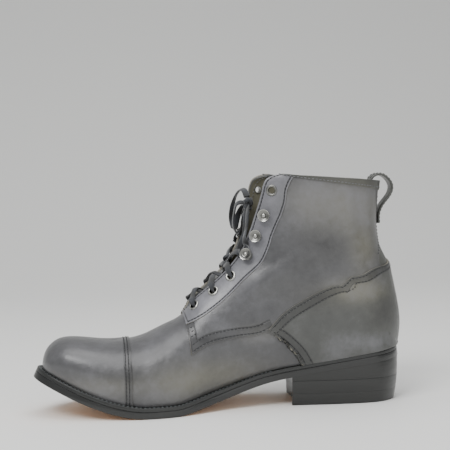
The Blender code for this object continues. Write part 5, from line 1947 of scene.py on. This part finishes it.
@dataclass
class Fittings:
    """Eyelets and lace hooks of plated steel."""

    shop: Workshop
    upper: Upper
    flange: float = 9.2 * MM
    hole: float = 5.3 * MM
    cap: float = 10.2 * MM
    cap_height: float = 5.4 * MM
    neck: float = 3.6 * MM

    @staticmethod
    def turned(points: Sequence[tuple[float, float]], steps: int, place: Matrix) -> bmesh.types.BMesh:
        """Body turned about the Z axis of a frame from points given as radius and height.

        Args:
            points: Radius and height pairs.
            steps: Steps of the turn.
            place: Frame whose Z axis is the axis.

        Returns:
            The turned body.
        """
        shape = bmesh.new()
        verts = [shape.verts.new((r, 0.0, h)) for r, h in points]
        pairs = list(zip(verts, verts[1:]))
        if points[0][0] > 0.0:
            pairs.append((verts[-1], verts[0]))
        edges = [shape.edges.new(pair) for pair in pairs]
        bmesh.ops.spin(shape, geom=verts + edges, cent=(0.0, 0.0, 0.0), axis=(0.0, 0.0, 1.0),
                       angle=2.0 * math.pi, steps=steps, use_merge=True)
        weld(shape, 0.000001)
        bmesh.ops.recalc_face_normals(shape, faces=shape.faces)
        bmesh.ops.transform(shape, matrix=place, verts=shape.verts)
        return shape

    def eyelets(self) -> None:
        """Rolled eyelets, bright on top; the highest eyelet gets the darker nickel as painted shade."""
        skin = FORM.sizes.skin
        inner, outer = self.hole / 2.0, self.flange / 2.0
        depth = skin + FORM.sizes.wall + 0.6 * MM
        middle, bulge = (inner + outer) / 2.0, (outer - inner) / 2.0
        roll = [(middle - bulge * math.cos(t), 0.9 * MM * math.sin(t)) for t in spread(0.0, math.pi, 10)]
        points = roll + [(outer, -0.1 * MM), (inner + 0.4 * MM, -0.1 * MM), (inner + 0.4 * MM, -depth),
                         (inner, -depth)]
        for number, (row, v, side) in enumerate(self.upper.eyelets()):
            node = f"eyelet_{side.label}_{number % 4 + 1}"
            # The highest eyelet takes the darker nickel: painted shade.
            finish = NICKEL if number % 4 < 3 else SHADED_NICKEL
            shape = self.turned(points, 32, self.upper.frame_at(row, v, side, skin))
            item = self.shop.object(f"{node}_ring", shape, (finish,))
            self.shop.settle(item, 60.0)
            self.shop.join(item, node, node)

    def hooks(self) -> None:
        """Hooks with a dished cap, a bright rim and a ball in the middle; the dish is darker nickel, painted
        shade.
        """
        skin = FORM.sizes.skin
        cap, neck, high = self.cap / 2.0, self.neck / 2.0, self.cap_height
        dish = [(cap * 0.80, 0.0), (cap * 0.78, 0.5 * MM), (neck, 1.1 * MM), (neck, high - 1.6 * MM),
                (cap * 0.7, high - 0.9 * MM), (cap * 0.96, high - 0.3 * MM), (cap, high + 0.1 * MM),
                (cap * 0.96, high + 0.5 * MM), (cap * 0.88, high + 0.4 * MM), (cap * 0.70, high - 0.3 * MM),
                (cap * 0.36, high - 0.6 * MM)]
        ball = [(neck * 1.0 * math.cos(t), high - 0.2 * MM + neck * 0.8 * math.sin(t))
                for t in spread(0.1, math.pi / 2.0, 6)]
        points = [(0.0, 0.0)] + dish + ball[:-1] + [(0.0, ball[-1][1])]
        for number, (row, v, side) in enumerate(self.upper.hooks()):
            node = f"lace_hook_{side.label}_{number % 3 + 1}"
            shape = self.turned(points, 32, self.upper.frame_at(row, v, side, skin))
            item = self.shop.object(f"{node}_metal", shape, (NICKEL, SHADED_NICKEL))
            place = self.upper.frame_at(row, v, side, skin).inverted()
            # The dish between the rim and the ball takes the darker nickel: painted shade in the hollow.
            for face in item.data.polygons:
                spot = place @ face.center
                radius = math.hypot(spot.x, spot.y)
                face.material_index = 0 if radius > cap * 0.84 or radius < neck * 0.9 else 1
            self.shop.settle(item, 60.0)
            self.shop.join(item, node, node)

    def build(self) -> None:
        """Make the eyelets and hooks."""
        self.eyelets()
        self.hooks()


@dataclass
class LaceWork:
    """The lace: criss-crossed through the low eyelets, tied, round the first hooks and tied in a bow."""

    shop: Workshop
    upper: Upper
    width: float = 5.2 * MM
    thick: float = 1.5 * MM
    knot_low: Vector = Vector((0.1036, 0.0, 0.1180))
    knot_top: Vector = Vector((0.0860, 0.0050, 0.1665))

    def edge_spot(self, row: float, side: int, out: float) -> Vector:
        """Point over the throat's edge, a distance out."""
        return FORM.smooth_point(row, 1.0, side) + FORM.normal(row, 0.97, side) * out

    def strand(self, name: str, row: float, side: int, over: float, node: str | None) -> None:
        """Strand from an eyelet over the throat to under the other flap.

        Args:
            name: Name of the piece.
            row: Fan row of the eyelet.
            side: Side it starts from.
            over: Extra height in the middle, so that one strand passes over the other.
            node: CAD node that it stands for, if any.
        """
        v = FORM.v_from_front(row, self.upper.eyelet_inset)
        skin = FORM.sizes.skin
        normal = FORM.normal(row, v, side)
        far_row = row + 0.75
        cut = FORM.section(row + 0.35)
        forward = (cut.front - cut.foot).normalized()
        hole = FORM.lifted(row, v, side, 0.0)
        edge = self.edge_spot(row + 0.12, side, skin + 1.8 * MM)
        middle = (self.edge_spot(row + 0.38, 1, 0.0) + self.edge_spot(row + 0.38, -1, 0.0)) / 2.0
        far = self.edge_spot(far_row, -side, -4.5 * MM)
        points = [hole - normal * 3.0 * MM, hole + normal * 0.8 * MM,
                  hole.lerp(edge, 0.42) + normal * 2.8 * MM, edge, middle + forward * (4.5 * MM + over),
                  far.lerp(middle, 0.25) + forward * 1.0 * MM, far]
        centres = smooth_path(points, 44)
        toeward = (FORM.smooth_point(row, 1.0, side) - FORM.smooth_point(far_row, 1.0, side)).normalized()
        keys = [toeward * -1.0 + normal * 0.3, normal * 0.7 - toeward * 0.6, normal, forward, forward,
                forward + normal * 0.5]
        ribbon = Ribbon(self.shop, self.width, self.thick)
        item = ribbon.sweep(name, centres, ribbon.carried_outs(centres, keys), LACE, taper=0.8)
        if node:
            self.shop.join(item, node, node)
        else:
            self.shop.join(item, "lace_crossing_1")

    def knot(self, name: str, centre: Vector, size: float, turn: float, node: str) -> bpy.types.Object:
        """Knot as one ribbon wound through itself.

        Args:
            name: Name of the piece.
            centre: Its middle.
            size: Its overall size.
            turn: Turn about the X axis, in degrees.
            node: CAD node that it stands for.

        Returns:
            The piece.
        """
        scale = size / 6.0
        spin = Matrix.Rotation(math.radians(turn), 4, "X") @ Matrix.Rotation(math.radians(90.0), 4, "Y")
        centres, outs = [], []
        for k in range(91):
            t = 2.0 * math.pi * k / 90
            flat = Vector((math.sin(t) + 1.6 * math.sin(2.0 * t), math.cos(t) - 1.6 * math.cos(2.0 * t),
                           -1.15 * math.sin(3.0 * t)))
            centres.append(centre + spin @ (flat * scale))
            outs.append(spin @ Vector((flat.x * 0.7, flat.y * 0.7, 1.2)).normalized())
        ribbon = Ribbon(self.shop, self.width * 0.9, self.thick * 1.5)
        item = ribbon.sweep(name, centres, outs, LACE)
        return self.shop.join(item, node, node)

    def free(self, name: str, points: Sequence[Vector], keys: Sequence[Vector], count: int, node: str,
             far_end: str, others: Sequence[bpy.types.Object]) -> None:
        """Free stretch of lace.

        Args:
            name: Name of the piece.
            points: Route from the knot.
            keys: Face directions at even places.
            count: Steps along it.
            node: CAD node that it stands for.
            far_end: Not used.
            others: Not used.
        """
        centres = smooth_path(points, count)
        ribbon = Ribbon(self.shop, self.width, self.thick)
        item = ribbon.sweep(name, centres, ribbon.carried_outs(centres, keys), LACE)
        self.shop.join(item, node, node)

    def tie(self, side: Side) -> None:
        """Lace from the third eyelet through the low knot, round the first hook and up to the bow.

        Args:
            side: The side.
        """
        name = side.label
        skin = FORM.sizes.skin
        row = LOW_EYELET_ROWS[-1]
        v = FORM.v_from_front(row, self.upper.eyelet_inset)
        normal = FORM.normal(row, v, side)
        hole = FORM.lifted(row, v, side, 0.0)
        edge = self.edge_spot(row + 0.1, side, skin + 1.8 * MM)
        points = [hole - normal * 3.0 * MM, hole + normal * 0.8 * MM,
                  hole.lerp(edge, 0.42) + normal * 2.8 * MM, edge,
                  self.knot_low + Vector((3.0 * MM, side * 3.0 * MM, -3.0 * MM))]
        centres = smooth_path(points, 30)
        keys = [Vector((0.5, 0.0, -0.5)), normal * 0.7 + Vector((0.4, 0.0, -0.4)), normal,
                Vector((0.7, side * 0.3, 0.6)), Vector((0.8, 0.0, 0.6))]
        ribbon = Ribbon(self.shop, self.width, self.thick)
        outs = ribbon.carried_outs(centres, keys)
        item = ribbon.sweep(f"lace_riser_{name}_braid", centres, outs, LACE, 0.8)
        self.shop.join(item, f"lace_riser_{name}", f"lace_riser_{name}")
        row = HOOK_ROWS[0]
        v = FORM.v_from_front(row, self.upper.hook_inset)
        place = self.upper.frame_at(row, v, side, skin + 2.7 * MM)
        reach = 1.8 * MM + self.thick / 2.0 + 0.4 * MM
        around = [place @ Vector((reach * x, side * reach * y, 0.0))
                  for x, y in ((1.6, 1.35), (-0.3, 1.0), (-1.0, 0.0), (-0.3, -1.0), (1.6, -1.35))]
        before = self.edge_spot(row - 0.45, side, skin + 2.6 * MM)
        after = self.edge_spot(row + 0.75, side, skin + 2.8 * MM)
        rest = [Vector((0.0895, side * 0.0160, 0.1450)), Vector((0.0880, side * 0.0140, 0.1565))]
        points = [self.knot_low + Vector((0.0, side * 3.0 * MM, 1.0 * MM)), before] + around + [after] + rest
        points.append(self.knot_top + Vector((0.0, side * 1.5 * MM, -2.0 * MM)))
        centres = smooth_path(points, 90)
        facing = (Vector((0.8, 0.0, 0.6)), Vector((0.9, side * 0.3, 0.2)))
        gaps = [(b - a).length for a, b in zip(points, points[1:])]
        outs = self.hook_outs(centres, facing, gaps, place)
        item = ribbon.sweep(f"lace_tie_{name}_braid", centres, outs, LACE)
        self.shop.join(item, f"lace_tie_{name}", f"lace_tie_{name}")

    @staticmethod
    def hook_outs(centres: Sequence[Vector], facing: tuple[Vector, Vector], gaps: Sequence[float],
                  place: Matrix) -> list[Vector]:
        """Face directions of a tie: away from the hook's neck near it, and forward elsewhere.

        Args:
            centres: Points of the middle line.
            facing: Directions before and after the hook.
            gaps: Lengths between the route's points.
            place: Frame of the hook.

        Returns:
            One direction for each point.
        """
        total = sum(gaps)
        start, end = sum(gaps[:2]) / total, sum(gaps[:6]) / total
        outs = []
        last = len(centres) - 1
        axis = place.col[2].to_3d()
        for k, centre in enumerate(centres):
            share = k / last
            way = (centres[min(k + 1, last)] - centres[max(k - 1, 0)]).normalized()
            radial = centre - place.translation
            radial = (radial - axis * radial.dot(axis)).normalized()
            near = min(1.0, max(0.0, 1.0 - max(start - share, share - end, 0.0) / 0.12))
            plain = facing[0] if share < start else facing[1]
            out = plain.normalized() * (1.0 - near) + radial * near
            outs.append((out - way * out.dot(way)).normalized())
        return outs

    def build(self) -> None:
        """Make every piece of the lace."""
        self.strand("lace_crossing_1_braid", LOW_EYELET_ROWS[0], 1, 1.2 * MM, "lace_crossing_1")
        self.strand("lace_strand_1_braid", LOW_EYELET_ROWS[0], -1, -0.6 * MM, None)
        self.strand("lace_crossing_2_braid", LOW_EYELET_ROWS[1], -1, 1.2 * MM, "lace_crossing_2")
        self.strand("lace_strand_2_braid", LOW_EYELET_ROWS[1], 1, -0.6 * MM, None)
        self.knot("lace_knot_low_braid", self.knot_low, 11.0 * MM, 20.0, "lace_knot_low")
        top = self.knot("lace_knot_top_braid", self.knot_top, 10.5 * MM, -30.0, "lace_knot_top")
        for side in Side:
            self.tie(side)
        route = [(86.5, -0.5, 166.5), (93.5, -6.0, 166.0), (95.5, -9.5, 159.0), (96.5, -11.0, 151.0),
                 (95.0, -10.0, 143.0), (92.0, -7.0, 139.5), (90.5, -3.0, 144.0), (90.5, -0.5, 153.0),
                 (87.5, 3.0, 161.5)]
        self.free("lace_loop_front_braid", [Vector(p) * MM for p in route],
                  [Vector((0.3, 0.2, 1.0)), Vector((1.0, 0.2, 0.3)), Vector((1.0, 0.1, 0.0)),
                   Vector((0.2, 0.3, -1.0)), Vector((-1.0, 0.3, 0.0)), Vector((-1.0, 0.3, 0.2))], 70,
                  "lace_loop_front", "knot", [top])
        route = [(86.2, 1.5, 171.5), (87.0, -4.0, 176.0), (89.0, -15.0, 177.5), (92.5, -26.0, 171.0),
                 (94.5, -32.5, 160.0), (94.5, -34.0, 150.0), (93.5, -29.0, 144.0), (91.5, -23.0, 153.0),
                 (86.0, -18.0, 164.0), (82.5, -10.0, 166.5), (84.0, -1.0, 166.0)]
        self.free("lace_loop_side_braid", [Vector(p) * MM for p in route],
                  [Vector((0.2, 0.0, 1.0)), Vector((0.4, 0.0, 1.0)), Vector((0.6, -0.5, 0.5)),
                   Vector((0.2, -1.0, 0.0)), Vector((0.3, 0.2, -1.0)), Vector((-0.5, 0.6, 0.5)),
                   Vector((-0.3, 0.3, 1.0))], 90, "lace_loop_side", "knot", [top])
        route = [(87.0, 6.0, 161.0), (88.5, 7.0, 153.0), (89.5, 7.0, 141.0), (93.0, 6.0, 132.0),
                 (94.5, 5.5, 126.0)]
        self.free("lace_end_front_braid", [Vector(p) * MM for p in route],
                  [Vector((0.8, 0.6, 0.0)), Vector((0.7, 0.7, 0.0)), Vector((0.6, 0.7, 0.2))], 40,
                  "lace_end_front", "bare", [top])


@dataclass
class Studio:
    """Pale seamless floor, soft light and the camera at the photograph's angle."""

    camera_mm: tuple[float, float, float] = (216.3, 908.1, 192.7)
    yaw: float = 7.0
    pitch: float = 2.76
    roll: float = 1.2
    focal_px: float = 1100.0
    image_px: float = 450.0

    def camera(self) -> None:
        """Place the camera."""
        yaw, pitch, roll = (math.radians(a) for a in (self.yaw, self.pitch, self.roll))
        level = Vector((-math.sin(yaw), -math.cos(yaw), 0.0))
        ahead = level * math.cos(pitch) - Vector((0.0, 0.0, 1.0)) * math.sin(pitch)
        up0 = level * math.sin(pitch) + Vector((0.0, 0.0, 1.0)) * math.cos(pitch)
        right0 = Vector((-math.cos(yaw), math.sin(yaw), 0.0))
        right = right0 * math.cos(roll) - up0 * math.sin(roll)
        up = up0 * math.cos(roll) + right0 * math.sin(roll)
        data = bpy.data.cameras.new("photo_camera")
        data.sensor_width = 36.0
        data.lens = data.sensor_width * self.focal_px / self.image_px
        item = bpy.data.objects.new("photo_camera", data)
        turn = Matrix((right, up, -ahead)).transposed().to_4x4()
        item.matrix_world = Matrix.Translation(Vector(self.camera_mm) * MM) @ turn
        bpy.context.scene.collection.objects.link(item)
        bpy.context.scene.camera = item

    def floor(self) -> None:
        """Pale floor that sweeps up behind the boot."""
        shape = bmesh.new()
        bmesh.ops.create_grid(shape, x_segments=40, y_segments=40, size=3.0)
        for vertex in shape.verts:
            vertex.co.z = -0.0002
            back = -0.9 - vertex.co.y
            if back > 0.0:
                vertex.co.z += 0.5 * back * back
        mesh = bpy.data.meshes.new("floor")
        shape.to_mesh(mesh)
        shape.free()
        mesh.shade_smooth()
        material, _, shader = new_material("matte_white_paper")
        shader.inputs["Base Color"].default_value = linear("#eeeeec")
        shader.inputs["Roughness"].default_value = 0.6
        mesh.materials.append(material)
        item = bpy.data.objects.new("floor", mesh)
        bpy.context.scene.collection.objects.link(item)

    @staticmethod
    def lamp(name: str, spot: tuple[float, float, float], size: float, power: float) -> None:
        """Area light aimed at the boot.

        Args:
            name: Its name.
            spot: Its place in metres.
            size: Width and height in metres.
            power: Watts.
        """
        data = bpy.data.lights.new(name, "AREA")
        data.shape = "RECTANGLE"
        data.size = size
        data.size_y = size
        data.energy = power
        item = bpy.data.objects.new(name, data)
        item.location = spot
        aim = Vector((0.10, 0.0, 0.09)) - Vector(spot)
        item.rotation_euler = aim.to_track_quat("-Z", "Y").to_euler()
        bpy.context.scene.collection.objects.link(item)

    def world(self) -> None:
        """Even pale surroundings."""
        world = bpy.data.worlds.new("studio")
        world.use_nodes = True
        sky = world.node_tree.nodes["Background"]
        sky.inputs["Color"].default_value = linear("#f2f3f3")
        sky.inputs["Strength"].default_value = 0.55
        bpy.context.scene.world = world

    def build(self) -> None:
        """Set up the camera, floor and lights."""
        self.camera()
        self.floor()
        self.world()
        self.lamp("key", (0.75, 0.80, 1.25), 0.7, 16.0)
        self.lamp("top", (0.05, 0.10, 1.5), 1.1, 14.0)
        self.lamp("front_fill", (-0.5, 1.4, 0.6), 1.2, 5.0)


def main() -> None:
    """Build the boot's looks in order."""
    logging.basicConfig(level=logging.INFO)
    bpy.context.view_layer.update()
    shop = Workshop()
    Studio().build()
    upper = Upper(shop)
    LaceWork(shop, upper).build()
    SoleUnit(shop).build()
    upper.build()
    PullLoop(shop).build()
    Fittings(shop, upper).build()


if __name__ == "__main__":
    main()
